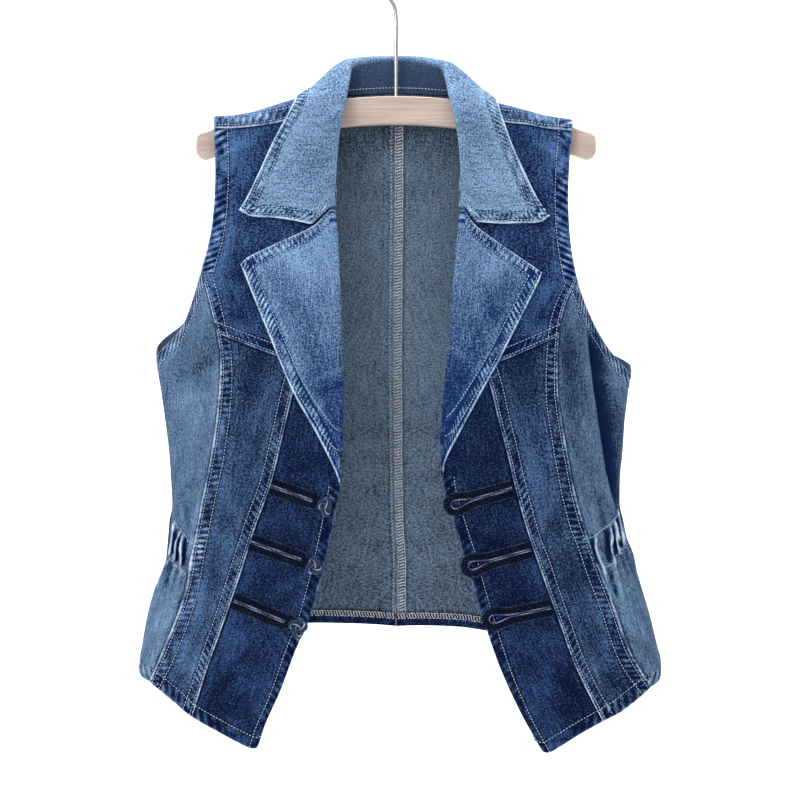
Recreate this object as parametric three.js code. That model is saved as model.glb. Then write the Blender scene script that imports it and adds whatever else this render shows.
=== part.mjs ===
// Cropped denim vest on a wooden hanger, open at the front.
// Millimetres, +Z up, the front faces -Y. The origin is the hanging point inside the top of the hook.

import * as THREE from 'three';

// Driving dimensions
const wall = 1.2;              // one layer of denim
const doubleWall = 2.2;        // collar and lapels, two layers
const seamGap = 0.4;           // between two pieces that are sewn together
const layerGap = 0.5;          // between a piece and the panel it lies on
const ridgeRadius = 10;        // rounding of the cloth over the hanger
const sectionPower = 4;        // 2 is an ellipse, larger is squarer at the sides
const lapelLift = 4;           // how far a lapel stands off the front at its roll line
const foldRadius = 4.2;        // roll line of a lapel
const breakRadius = 2.2;       // the same where the lapel ends
const tapeWidth = 8.8;         // one leg of a rouleau tape
const tapeThick = 2.6;
const allowanceWidth = 14;     // overlocked centre-back seam allowance
const hemDepth = 13;           // turned-up back hem
const barHalfLength = 203;
const barThick = 11;
const barTop = -144.55;          // top of the bar at its middle
const barArch = 0.00097;       // drop of the bar in 1/mm, times the distance from the middle squared
const barHeight = 28.5;
const barEndRadius = 10;
const barBevel = 2;
const wireDiameter = 4.2;
const hookInnerRadius = 20;
const hookMouthAngle = -30;    // degrees from level, where the wire ends
const hookBackAngle = 230;     // where it leaves the round and bends down to the stem
const hookSeat = 0.3;
const allowanceOffset = 6;     // how much of the allowance lies to the left of the seam
const allowanceStart = 2;      // below the neckline
const allowanceGap = 0.8;
const layoutMiddle = -450;     // level where the allowance's width is measured
const collarStops = [0, 1, 2, 3, 4, 4.5, 5, 5.5, 6, 6.5, 7, 7.5, 8, 9, 10];   // stations made, up to the middle
const collarClearance = 0.5;   // extra, for the collar's flat facets over the round of the shoulder
const collarEndReach = 3;      // stations over which the shape of a collar end fades into the rest
const knotDepth = 13;
const knotLobe = 0.14;         // depth of a knot's lobes, as a share of its radius
const tapeApart = 0.5;         // between the two legs of a tape
const eyeLength = 20;          // over which a loop's legs part

// How finely the pieces are divided
const evenSteps = (count) => Array.from({ length: count + 1 }, (_, k) => k / count);
const stepsPerPoint = 8;       // of a smooth line
const upperSteps = { across: 8, down: 14 };
const middleSteps = { across: 7, down: 19 };
const centreSteps = { across: 6, down: 19 };
const sideColumns = evenSteps(16);
const sideRows = [0, 0.07, 0.14, 0.21, 0.28, 0.35, 0.42, 0.48, 0.53, 0.57, 0.6, 0.63, 0.66, 0.69, 0.73, 0.79, 0.86,
  0.93, 1];                    // closer together at the waist gathers
const backColumns = evenSteps(14);
const backDowns = [0, 6, 12, 18, 24, 30, 45, 70, 100, 130, 160, 190, 220, 250, 280, 310, 335, 360, 380, 396, 410, 424,
  445, 475, 491, 505];         // closer together over the ridge and at the waist
const backRows = backDowns.map((down) => down / backDowns[backDowns.length - 1]);
const lapelSteps = { across: 8, down: 15, fold: 4 };
const lapelRows = { first: 0.004, length: 0.985 };   // the rows stop short of the lapel's pointed lower end
const lapelOpenShare = 0.625;  // share of a lapel's width that stands off the front
const largestInset = 0.2;      // share of a panel that its seam gap may take at a narrow end
const standSteps = 4;
const fallSteps = 8;
const tipSteps = 6;
const barSteps = 16;
const hookSteps = 44;

// The garment is laid out as it looks from eyePoint on the plane y = layoutPlane.
// truePoint carries a point that lies deeper, or nearer, to its real place along the line of sight.
const eyePoint = { x: 4, y: -1800, z: -453 };
const layoutPlane = -30;

function truePoint(x, y, z) {
  const spread = (y - eyePoint.y) / (layoutPlane - eyePoint.y);
  return new THREE.Vector3(eyePoint.x + (x - eyePoint.x) * spread, y, eyePoint.z + (z - eyePoint.z) * spread);
}

// Level sections: the side seams' x, and how deep the front and the back lie at the middle
const girth = [
  { z: -140, left: -237, right: 237, front: 10.5, back: 10.5 },
  { z: -190, left: -237, right: 237, front: 13, back: 12.5 },
  { z: -260, left: -237.5, right: 237, front: 22, back: 18 },
  { z: -340, left: -238.5, right: 236.5, front: 30, back: 24 },
  { z: -413, left: -238.5, right: 235.5, front: 35, back: 28 },
  { z: -446, left: -234, right: 231.5, front: 36, back: 28 },
  { z: -481, left: -229, right: 227.5, front: 36, back: 27 },
  { z: -533, left: -224.5, right: 223.5, front: 36, back: 26 },
  { z: -583, left: -224.5, right: 226, front: 37, back: 27 },
  { z: -612, left: -231, right: 236.5, front: 38, back: 28 },
  { z: -645, left: -242, right: 246.5, front: 39, back: 29 },
  { z: -680, left: -250.5, right: 256, front: 41, back: 30 },
  { z: -718, left: -255.5, right: 263.5, front: 42, back: 30 },
  { z: -810, left: -257, right: 265, front: 43, back: 31 },
];

// Top line of the cloth over the hanger, from the left shoulder tip to the right one
const ridge = [
  { x: -245, z: -174 },
  { x: -182, z: -170 },
  { x: -160, z: -168 },
  { x: -136, z: -163 },
  { x: -99, z: -152 },
  { x: -60, z: -147 },
  { x: 0, z: -143.5 },
  { x: 60, z: -147 },
  { x: 97, z: -154.5 },
  { x: 132, z: -164 },
  { x: 150, z: -169 },
  { x: 180, z: -174.5 },
  { x: 245, z: -180 },
];

// Largest creases. Depth is negative for a trough; angle is the crease's lean from upright, in degrees
const creases = [
  { face: 'front', x: 198, z: -405, angle: -9, length: 42, width: 8, depth: -5 },
  { face: 'front', x: 208, z: -490, angle: -9, length: 60, width: 8, depth: -6 },
  { face: 'front', x: 190, z: -460, angle: -8, length: 90, width: 7, depth: 2.5 },
  { face: 'front', x: 221, z: -485, angle: -4, length: 45, width: 6, depth: 2.5 },
  { face: 'front', x: 214, z: -640, angle: -24, length: 45, width: 9, depth: -3 },
  { face: 'front', x: -203, z: -556, angle: 24, length: 26, width: 7, depth: -3 },
  { face: 'front', x: -212, z: -500, angle: 8, length: 50, width: 9, depth: -2.5 },
  { face: 'front', x: -207, z: -650, angle: 22, length: 40, width: 9, depth: -3 },
  { face: 'front', x: -150, z: -250, angle: 12, length: 60, width: 16, depth: -3 },
  { face: 'front', x: 148, z: -262, angle: -10, length: 60, width: 16, depth: -3 },
  { face: 'back', x: -30, z: -520, angle: 80, length: 110, width: 11, depth: -3 },
  { face: 'back', x: 40, z: -548, angle: 97, length: 100, width: 10, depth: 2.5 },
  { face: 'back', x: 10, z: -574, angle: 88, length: 90, width: 9, depth: -2.5 },
  { face: 'back', x: -120, z: -330, angle: 25, length: 90, width: 18, depth: -3.5 },
  { face: 'back', x: 125, z: -340, angle: -22, length: 90, width: 18, depth: -3.5 },
  { face: 'back', x: -190, z: -500, angle: 10, length: 70, width: 12, depth: -3 },
  { face: 'back', x: 192, z: -505, angle: -12, length: 70, width: 12, depth: -3 },
];

// Elastic gathers round each side seam at the waist
const gathers = {
  level: -591,        // at the side seam
  slope: 0.5,         // how much lower they lie for each millimetre round to the front
  halfHeight: 24,
  pitch: 10,
  depth: 2.4,
  reachFront: 58,
  reachBack: 48,
};

// Seam and edge lines of each front, as [x, z] pairs in the layout
const leftLines = {
  side: -1,
  shoulder: [[-182, -181], [-155, -180.5], [-134, -178], [-115, -174.5], [-68, -166]],
  armhole: [[-182, -181], [-181, -233], [-185, -283], [-195, -323], [-206, -360], [-216, -383], [-236, -405],
    [-238.5, -413]],
  armholeSplit: -323,
  neckline: [[-68, -166], [-69, -200], [-66.3, -258]],
  rollLine: [[-61, -258], [-58, -293], [-55, -353], [-52.8, -425], [-53.5, -493], [-55.6, -541]],
  frontEdge: [[-55.6, -541], [-62, -573], [-73, -623], [-86, -669.5], [-101, -705], [-116, -745], [-130, -776],
    [-142, -802]],
  hem: [[-255.5, -723], [-246, -734.5], [-226, -752], [-204, -770], [-176, -786], [-146, -801.4], [-142, -802]],
  sideSeam: [[-196, -323], [-184, -365], [-176.3, -403], [-177, -446], [-184, -503], [-193, -550], [-201, -592],
    [-211, -642], [-225, -683], [-246, -734.5]],
  frontSeam: [[-94, -417], [-103, -445], [-114.3, -493], [-125.5, -538], [-141, -581], [-156.5, -630],
    [-175, -683], [-188.4, -720], [-204, -770]],
  yokeLevel: -386,
  yoke: [[-179, -386], [-156, -395], [-130, -405], [-94, -417], [-60, -427]],
  lapelEdge: [[-155.5, -317], [-145.3, -343], [-126.3, -390], [-104, -443], [-80, -486], [-61, -524],
    [-55.6, -541]],
  lapelTop: -262.5,
  gorge: [[-66, -262.5], [-71, -267.5], [-84, -279], [-116, -294], [-149, -310], [-155.5, -317]],
};

const rightLines = {
  side: 1,
  shoulder: [[176.5, -183.5], [149, -181], [132, -177.5], [108.7, -175], [68, -168]],
  armhole: [[176.5, -183.5], [173.7, -214], [172.5, -256], [175.4, -300], [184, -341], [199, -377.5],
    [214, -403], [235, -427]],
  armholeSplit: -331,
  neckline: [[68, -168], [69.5, -202], [69.2, -258]],
  rollLine: [[64, -258], [60, -300], [55.5, -352], [54, -386], [49.7, -421], [47.4, -455], [45, -493],
    [46.8, -531]],
  frontEdge: [[46.8, -531], [49, -546], [58, -576], [68.7, -610], [78, -642], [92, -687.6], [105.7, -725],
    [124.7, -766], [149, -807]],
  hem: [[263.5, -724], [254.5, -740], [228, -763], [207, -774.5], [183, -788], [155.7, -806], [149, -807]],
  sideSeam: [[181, -331], [167.8, -362], [162.5, -393], [162, -446], [167, -481], [173, -515], [180.7, -553],
    [192, -591], [202, -618], [217.8, -659], [233, -702], [254.5, -740]],
  frontSeam: [[88, -420], [95.4, -443], [102, -471], [111.8, -508.5], [118.7, -538], [130.7, -582], [147, -630],
    [162.6, -673], [180, -720], [207, -774.5]],
  yokeLevel: -389,
  yoke: [[162.6, -389], [135, -401.6], [106, -413.7], [88, -420], [55, -431]],
  lapelEdge: [[146, -325], [142, -336], [124.7, -371], [104, -412], [83, -450], [61, -491], [49, -515],
    [46.8, -531]],
  lapelTop: -263,
  gorge: [[69, -263], [71.5, -267], [79, -277], [104, -296], [132, -315], [146, -325]],
};

const back = {
  neckDrop: 9,               // arc from the ridge down to the neckline at the centre back
  shoulderDrop: 5.4,         // the same where the neckline crosses the ridge
  neckInner: 40,             // x of two points of the back neckline
  neckOuter: 62,
  turnLength: 150,           // millimetres to a radian of turn, for measuring along an edge
  hemMiddle: [0, -679],
  hem: [[-255.5, -723], [-205, -700], [-140, -681], [-81, -674], [0, -679], [79, -680.5], [145, -690], [210, -706],
    [263.5, -724]],
  leftArmhole: [[-182, -168], [-175, -233], [-178, -293], [-192, -340], [-219, -382], [-238.5, -413]],
  rightArmhole: [[177, -172], [168, -235], [168, -295], [180, -352], [203, -402], [235, -427]],
};

// Collar stations from the left gorge round the back of the neck to the middle; the right half has its own rows.
// Each names the neck seam, the roll and the fall's edge, by x, z and, where the body's face doesn't give it, y.
const collarLeft = [
  { neckX: -64.6, neckZ: -260, rollX: -61, rollZ: -260,
    edgeX: -157, edgeZ: -263, face: 'front', stand: 3.5 },
  { neckX: -66, neckZ: -233, rollX: -61, rollZ: -233, edgeX: -146, edgeZ: -245, face: 'front', stand: 5 },
  { neckX: -67.3, neckZ: -206, rollX: -60, rollZ: -210, edgeX: -136, edgeZ: -223, face: 'front', stand: 7 },
  { neckX: -67.2, neckZ: -183, rollX: -57.5, rollZ: -186,
    edgeX: -123, edgeZ: -194, face: 'front', stand: 9 },
  { neckX: -66.6, neckZ: -164, rollX: -54, rollZ: -166,
    edgeX: -110, edgeZ: -170, face: 'front', stand: 10 },
  { neckX: -66, neckY: -8.5, neckZ: -153.5, rollX: -50, rollY: -13, rollZ: -148,
    edgeX: -102, edgeY: -11, edgeZ: -155 },
  { neckX: -63.6, neckY: -1, neckZ: -147.2, rollX: -47.5, rollY: -4, rollZ: -127,
    edgeX: -98, edgeY: -1, edgeZ: -149 },
  { neckX: -57, neckY: 6.2, neckZ: -147.4, rollX: -46, rollY: 5, rollZ: -115,
    edgeX: -96, edgeY: 9, edgeZ: -153 },
  { neckX: -46, neckY: 7.9, neckZ: -147.8, rollX: -38, rollY: 11, rollZ: -112,
    edgeX: -80, edgeY: 17, edgeZ: -168 },
  { neckX: -25, neckY: 8.2, neckZ: -146.6, rollX: -22, rollY: 14, rollZ: -110,
    edgeX: -44, edgeY: 18, edgeZ: -174 },
];
const collarMiddle = [
  { neckX: 0, neckY: 8.2, neckZ: -146, rollX: 0, rollY: 15, rollZ: -109.5,
    edgeX: 0, edgeY: 18, edgeZ: -175 },
];
const collarRight = [
  { neckX: 25, neckY: 8.2, neckZ: -146.6, rollX: 22, rollY: 14, rollZ: -110,
    edgeX: 44, edgeY: 18, edgeZ: -174 },
  { neckX: 46, neckY: 7.9, neckZ: -147.8, rollX: 38, rollY: 11, rollZ: -113,
    edgeX: 80, edgeY: 17, edgeZ: -168 },
  { neckX: 57, neckY: 6.2, neckZ: -147.4, rollX: 48, rollY: 5, rollZ: -117,
    edgeX: 96, edgeY: 9, edgeZ: -155 },
  { neckX: 63.6, neckY: -1, neckZ: -147.4, rollX: 51, rollY: -4, rollZ: -130,
    edgeX: 99, edgeY: -1, edgeZ: -152 },
  { neckX: 66.2, neckY: -8.5, neckZ: -154.5, rollX: 54.5, rollY: -13, rollZ: -150,
    edgeX: 103, edgeY: -11, edgeZ: -160 },
  { neckX: 66.6, neckZ: -166, rollX: 59, rollZ: -166, edgeX: 108, edgeZ: -174, face: 'front', stand: 10 },
  { neckX: 67.4, neckZ: -185, rollX: 63, rollZ: -186, edgeX: 115, edgeZ: -194, face: 'front', stand: 9 },
  { neckX: 68.2, neckZ: -208, rollX: 65.3, rollZ: -210, edgeX: 124, edgeZ: -216, face: 'front', stand: 7 },
  { neckX: 68, neckZ: -233, rollX: 65, rollZ: -233, edgeX: 136, edgeZ: -244, face: 'front', stand: 5 },
  { neckX: 67.6, neckZ: -260, rollX: 64, rollZ: -260, edgeX: 154, edgeZ: -269, face: 'front', stand: 3.5 },
];
// Lower ends of the collar: along the gorge from the roll to the notch, then along the edge to the tip
const collarEnds = {
  left: {
    gorge: [[-61, -260], [-66, -260.6], [-72, -265.6], [-84.4, -277.2]],
    edge: [[-84.4, -277.2], [-106, -273], [-126, -270.5], [-146, -269], [-157, -263]],
  },
  right: {
    gorge: [[64, -260], [69.4, -260.6], [73, -265], [80.2, -275]],
    edge: [[80.2, -275], [104, -276.6], [125, -276], [144, -275], [154, -269]],
  },
};

// Rouleau tapes: from the front seam to a knot on the left, or to an open loop on the right
const tapes = [
  { name: 'knot_tape_1', x: -125, z: -539, tipX: -76.1, tipZ: -556.5, eye: 0 },
  { name: 'knot_tape_2', x: -145.5, z: -595, tipX: -87.6, tipZ: -615.6, eye: 0 },
  { name: 'knot_tape_3', x: -162, z: -654, tipX: -104.4, tipZ: -678, eye: 0 },
  { name: 'loop_tape_1', x: 116, z: -541.5, tipX: 47.5, tipZ: -561, eye: 3.2 },
  { name: 'loop_tape_2', x: 134.5, z: -603, tipX: 64.5, tipZ: -622, eye: 3.2 },
  { name: 'loop_tape_3', x: 154.5, z: -661, tipX: 85.5, tipZ: -675, eye: 3.2 },
];
const knots = [
  { name: 'knot_1', x: -71, z: -559.5, width: 16, height: 22 },
  { name: 'knot_2', x: -82, z: -620, width: 19, height: 20 },
  { name: 'knot_3', x: -98, z: -681.5, width: 21, height: 21 },
];
const tapeSection = [
  { across: 1, high: 0 }, { across: 0.8, high: 0.75 }, { across: 0, high: 1 }, { across: -0.8, high: 0.75 },
  { across: -1, high: 0 }, { across: -0.8, high: -0.75 }, { across: 0, high: -1 }, { across: 0.8, high: -0.75 },
];

const colours = {
  washed: 0x6e91b9, side: 0x46699a, deep: 0x28416e, inside: 0x505f73, dark: 0x1f3358, wood: 0xe6d0be, steel: 0xc9c6c2,
};

// Smooth value of one column of a table at a place along its first column
function readTable(table, key, column, place) {
  const rising = table[1][key] > table[0][key] ? 1 : -1;
  const last = table.length - 1;
  let row = 0;
  while (row < last - 1 && rising * (place - table[row + 1][key]) > 0) row += 1;
  const span = table[row + 1][key] - table[row][key];
  const part = THREE.MathUtils.clamp((place - table[row][key]) / span, 0, 1);
  const slopeAt = (index) => {
    const before = table[Math.max(index - 1, 0)];
    const after = table[Math.min(index + 1, last)];
    return (after[column] - before[column]) / (after[key] - before[key]);
  };
  const square = part * part;
  const cube = square * part;
  return (2 * cube - 3 * square + 1) * table[row][column] + (cube - 2 * square + part) * span * slopeAt(row)
    + (3 * square - 2 * cube) * table[row + 1][column] + (cube - square) * span * slopeAt(row + 1);
}

// Smooth line through points; the result gives the point at a fraction of its length
function smoothLine(points) {
  const stops = [0];
  for (let k = 1; k < points.length; k += 1) {
    stops.push(stops[k - 1] + Math.hypot(...points[k].map((value, axis) => value - points[k - 1][axis])));
  }
  const rows = points.map((point, k) => ({ stop: stops[k], ...point }));
  const dense = [];
  for (let k = 0; k < points.length - 1; k += 1) {
    for (let m = 0; m < stepsPerPoint; m += 1) {
      const place = stops[k] + (stops[k + 1] - stops[k]) * m / stepsPerPoint;
      dense.push(points[0].map((_, axis) => readTable(rows, 'stop', axis, place)));
    }
  }
  dense.push([...points[points.length - 1]]);
  const lengths = [0];
  for (let k = 1; k < dense.length; k += 1) {
    lengths.push(lengths[k - 1] + Math.hypot(...dense[k].map((value, axis) => value - dense[k - 1][axis])));
  }
  const total = lengths[lengths.length - 1];
  const line = (fraction) => {
    const place = THREE.MathUtils.clamp(fraction, 0, 1) * total;
    let k = 0;
    while (k < dense.length - 2 && lengths[k + 1] < place) k += 1;
    const part = (place - lengths[k]) / (lengths[k + 1] - lengths[k]);
    return dense[k].map((value, axis) => value + (dense[k + 1][axis] - value) * part);
  };
  line.total = total;
  return line;
}

function partLine(line, from, to) {
  const piece = (fraction) => line(from + (to - from) * fraction);
  piece.total = line.total * Math.abs(to - from);
  return piece;
}

function chainLines(...lines) {
  const total = lines.reduce((sum, line) => sum + line.total, 0);
  const chain = (fraction) => {
    let place = THREE.MathUtils.clamp(fraction, 0, 1) * total;
    let k = 0;
    while (k < lines.length - 1 && place > lines[k].total) {
      place -= lines[k].total;
      k += 1;
    }
    return lines[k](place / lines[k].total);
  };
  chain.total = total;
  return chain;
}

// Fraction of a line where one of its coordinates reaches a value, for a coordinate that only rises or falls
function fractionAt(line, axis, value) {
  const rising = line(1)[axis] > line(0)[axis];
  let low = 0;
  let high = 1;
  for (let k = 0; k < 40; k += 1) {
    const middle = (low + high) / 2;
    if ((line(middle)[axis] < value) === rising) low = middle;
    else high = middle;
  }
  return (low + high) / 2;
}

// The body's shell. A place on it is [turn, drop]: turn is the section's angle, from -90 degrees at the left side
// seam to 90 at the right one, and drop is the way down from the ridge, negative in front and positive behind.
const quarterRidge = ridgeRadius * Math.PI / 2;

function fallOf(drop) {
  return drop < quarterRidge ? ridgeRadius * (1 - Math.cos(drop / ridgeRadius)) : ridgeRadius + drop - quarterRidge;
}

function dropOf(fall) {
  return fall < ridgeRadius
    ? ridgeRadius * Math.acos(1 - Math.max(fall, 0) / ridgeRadius)
    : quarterRidge + fall - ridgeRadius;
}

function sectionAt(z) {
  const left = readTable(girth, 'z', 'left', z);
  const right = readTable(girth, 'z', 'right', z);
  return {
    middle: (left + right) / 2,
    half: (right - left) / 2,
    front: readTable(girth, 'z', 'front', z),
    back: readTable(girth, 'z', 'back', z),
  };
}

function placeOf([x, z], face) {
  const section = sectionAt(z);
  const across = THREE.MathUtils.clamp((x - section.middle) / section.half, -1, 1);
  const turn = Math.atan2(across, (1 - Math.abs(across) ** sectionPower) ** (1 / sectionPower));
  return [turn, face * dropOf(readTable(ridge, 'x', 'z', x) - z)];
}

// The side seam between two levels, as a line of places
function sideLine(side, topLevel, hemLevel, face) {
  const column = side < 0 ? 'left' : 'right';
  const line = (fraction) => {
    const z = topLevel + (hemLevel - topLevel) * fraction;
    return [side * Math.PI / 2, face * dropOf(readTable(ridge, 'x', 'z', readTable(girth, 'z', column, z)) - z)];
  };
  line.total = topLevel - hemLevel;
  return line;
}

function crease(face, x, z) {
  return creases.filter((row) => row.face === face).reduce((sum, row) => {
    const lean = row.angle * Math.PI / 180;
    const along = (z - row.z) * Math.cos(lean) + (x - row.x) * Math.sin(lean);
    const across = (x - row.x) * Math.cos(lean) - (z - row.z) * Math.sin(lean);
    return sum + row.depth * Math.exp(-((along / row.length) ** 2) - ((across / row.width) ** 2));
  }, 0);
}

function gather(face, half, x, y, z, middle) {
  const round = half - Math.abs(x - middle) + Math.abs(y);
  const reach = face === 'front' ? gathers.reachFront : gathers.reachBack;
  const down = (z - gathers.level + gathers.slope * (face === 'front' ? round : 0)) / gathers.halfHeight;
  const fade = Math.exp(-(down ** 4)) * Math.exp(-((round / reach) ** 6));
  const signedRound = face === 'front' ? round : -round;
  return gathers.depth * fade * Math.cos(2 * Math.PI * signedRound / gathers.pitch);
}

function plainShell(turn, drop) {
  const fall = fallOf(Math.abs(drop));
  const squaring = (Math.abs(Math.sin(turn)) ** sectionPower + Math.abs(Math.cos(turn)) ** sectionPower)
    ** (1 / sectionPower);
  const reach = Math.sin(turn) / squaring;
  let x = reach * girth[0].right;
  let z = 0;
  let section = null;
  for (let k = 0; k < 6; k += 1) {
    z = readTable(ridge, 'x', 'z', x) - fall;
    section = sectionAt(z);
    x = section.middle + section.half * reach;
  }
  const rounding = Math.abs(drop) < quarterRidge ? Math.sin(Math.abs(drop) / ridgeRadius) : 1;
  const depth = drop < 0 ? section.front : section.back;
  const y = Math.sign(drop) * depth * rounding * Math.cos(turn) / squaring;
  return { point: new THREE.Vector3(x, y, z), section };
}

const probe = { turn: 0.004, drop: 0.4 };

function normalOf(surface, turn, drop) {
  const across = surface(turn + probe.turn, drop).sub(surface(turn - probe.turn, drop));
  const down = surface(turn, drop + probe.drop).sub(surface(turn, drop - probe.drop));
  return across.cross(down).normalize();
}

function shell(turn, drop) {
  const { point, section } = plainShell(turn, drop);
  const face = drop < 0 ? 'front' : 'back';
  const lift = crease(face, point.x, point.z) * Math.min(Math.abs(drop) / quarterRidge, 1)
    + gather(face, section.half, point.x, point.y, point.z, section.middle);
  if (Math.abs(lift) < 1e-6) return point;
  return point.addScaledVector(normalOf((a, b) => plainShell(a, b).point, turn, drop), lift);
}

// Point on the shell, moved out of it by a distance
function offShell(turn, drop, out) {
  return shell(turn, drop).addScaledVector(normalOf(shell, turn, drop), out);
}

// Patch between four lines of places, as a function of two fractions
function patch(top, bottom, left, right) {
  const corners = [top(0), top(1), bottom(0), bottom(1)];
  return (s, t) => {
    const edges = [top(s), bottom(s), left(t), right(t)];
    return [0, 1].map((axis) => (1 - t) * edges[0][axis] + t * edges[1][axis]
      + (1 - s) * edges[2][axis] + s * edges[3][axis]
      - (1 - s) * (1 - t) * corners[0][axis] - s * (1 - t) * corners[1][axis]
      - (1 - s) * t * corners[2][axis] - s * t * corners[3][axis]);
  };
}

const onFace = (line, face) => (fraction) => placeOf(line(fraction), face);

// Closed wall from rows of outer points and matching rows of inner points
function closedWall(outer, inner) {
  const rows = outer.length;
  const columns = outer[0].length;
  const positions = [];
  [outer, inner].forEach((grid) => grid.forEach((row) => row.forEach((point) => {
    positions.push(...truePoint(point.x, point.y, point.z).toArray());
  })));
  const at = (layer, i, j) => layer * rows * columns + i * columns + j;
  const faces = [];
  const quad = (a, b, c, d) => faces.push(a, b, c, a, c, d);
  for (let i = 0; i < rows - 1; i += 1) {
    for (let j = 0; j < columns - 1; j += 1) {
      quad(at(0, i, j), at(0, i + 1, j), at(0, i + 1, j + 1), at(0, i, j + 1));
      quad(at(1, i, j), at(1, i, j + 1), at(1, i + 1, j + 1), at(1, i + 1, j));
    }
  }
  for (let i = 0; i < rows - 1; i += 1) {
    quad(at(0, i, 0), at(1, i, 0), at(1, i + 1, 0), at(0, i + 1, 0));
    quad(at(0, i, columns - 1), at(0, i + 1, columns - 1), at(1, i + 1, columns - 1), at(1, i, columns - 1));
  }
  for (let j = 0; j < columns - 1; j += 1) {
    quad(at(0, 0, j), at(0, 0, j + 1), at(1, 0, j + 1), at(1, 0, j));
    quad(at(0, rows - 1, j), at(1, rows - 1, j), at(1, rows - 1, j + 1), at(0, rows - 1, j + 1));
  }
  const geometry = new THREE.BufferGeometry();
  geometry.setAttribute('position', new THREE.Float32BufferAttribute(positions, 3));
  geometry.setIndex(faces);
  return facingOut(geometry);
}

// Turns every face over if the body is inside out
function facingOut(geometry) {
  const position = geometry.attributes.position;
  const index = geometry.index.array;
  const [a, b, c] = [new THREE.Vector3(), new THREE.Vector3(), new THREE.Vector3()];
  let volume = 0;
  for (let k = 0; k < index.length; k += 3) {
    a.fromBufferAttribute(position, index[k]);
    b.fromBufferAttribute(position, index[k + 1]);
    c.fromBufferAttribute(position, index[k + 2]);
    volume += a.dot(b.cross(c));
  }
  if (volume < 0) {
    for (let k = 0; k < index.length; k += 3) [index[k], index[k + 1]] = [index[k + 1], index[k]];
  }
  geometry.computeVertexNormals();
  return geometry;
}

// Panel of cloth: a patch of places, drawn in by half a seam gap on every side and given its thickness
function panel(place, acrossSteps, downSteps, thick, lift = () => 0) {
  const flat = (s, t) => shell(...place(s, t));
  const outer = [];
  const inner = [];
  const inset = (steps, total) => steps.map((step) => {
    const edge = Math.min(seamGap / 2 / total, largestInset);
    return edge + step * (1 - 2 * edge);
  });
  downSteps.forEach((rowStep) => {
    const quarters = evenSteps(4).map((share) => flat(share, rowStep));
    const width = quarters.slice(1).reduce((sum, point, k) => sum + point.distanceTo(quarters[k]), 0);
    const outerRow = [];
    const innerRow = [];
    inset(acrossSteps, width).forEach((s) => {
      const height = flat(s, 0).distanceTo(flat(s, 0.5)) + flat(s, 0.5).distanceTo(flat(s, 1));
      const edge = Math.min(seamGap / 2 / height, largestInset);
      const t = edge + rowStep * (1 - 2 * edge);
      const [turn, drop] = place(s, t);
      const out = lift(s, t);
      outerRow.push(offShell(turn, drop, out + thick / 2));
      innerRow.push(offShell(turn, drop, out - thick / 2));
    });
    outer.push(outerRow);
    inner.push(innerRow);
  });
  return closedWall(outer, inner);
}

const vest = new THREE.Group();

function addPiece(name, geometry, colour, roughness = 0.9, metalness = 0) {
  const material = new THREE.MeshStandardMaterial({ color: colour, roughness, metalness });
  const mesh = new THREE.Mesh(geometry, material);
  mesh.name = name;
  vest.add(mesh);
}

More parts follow.
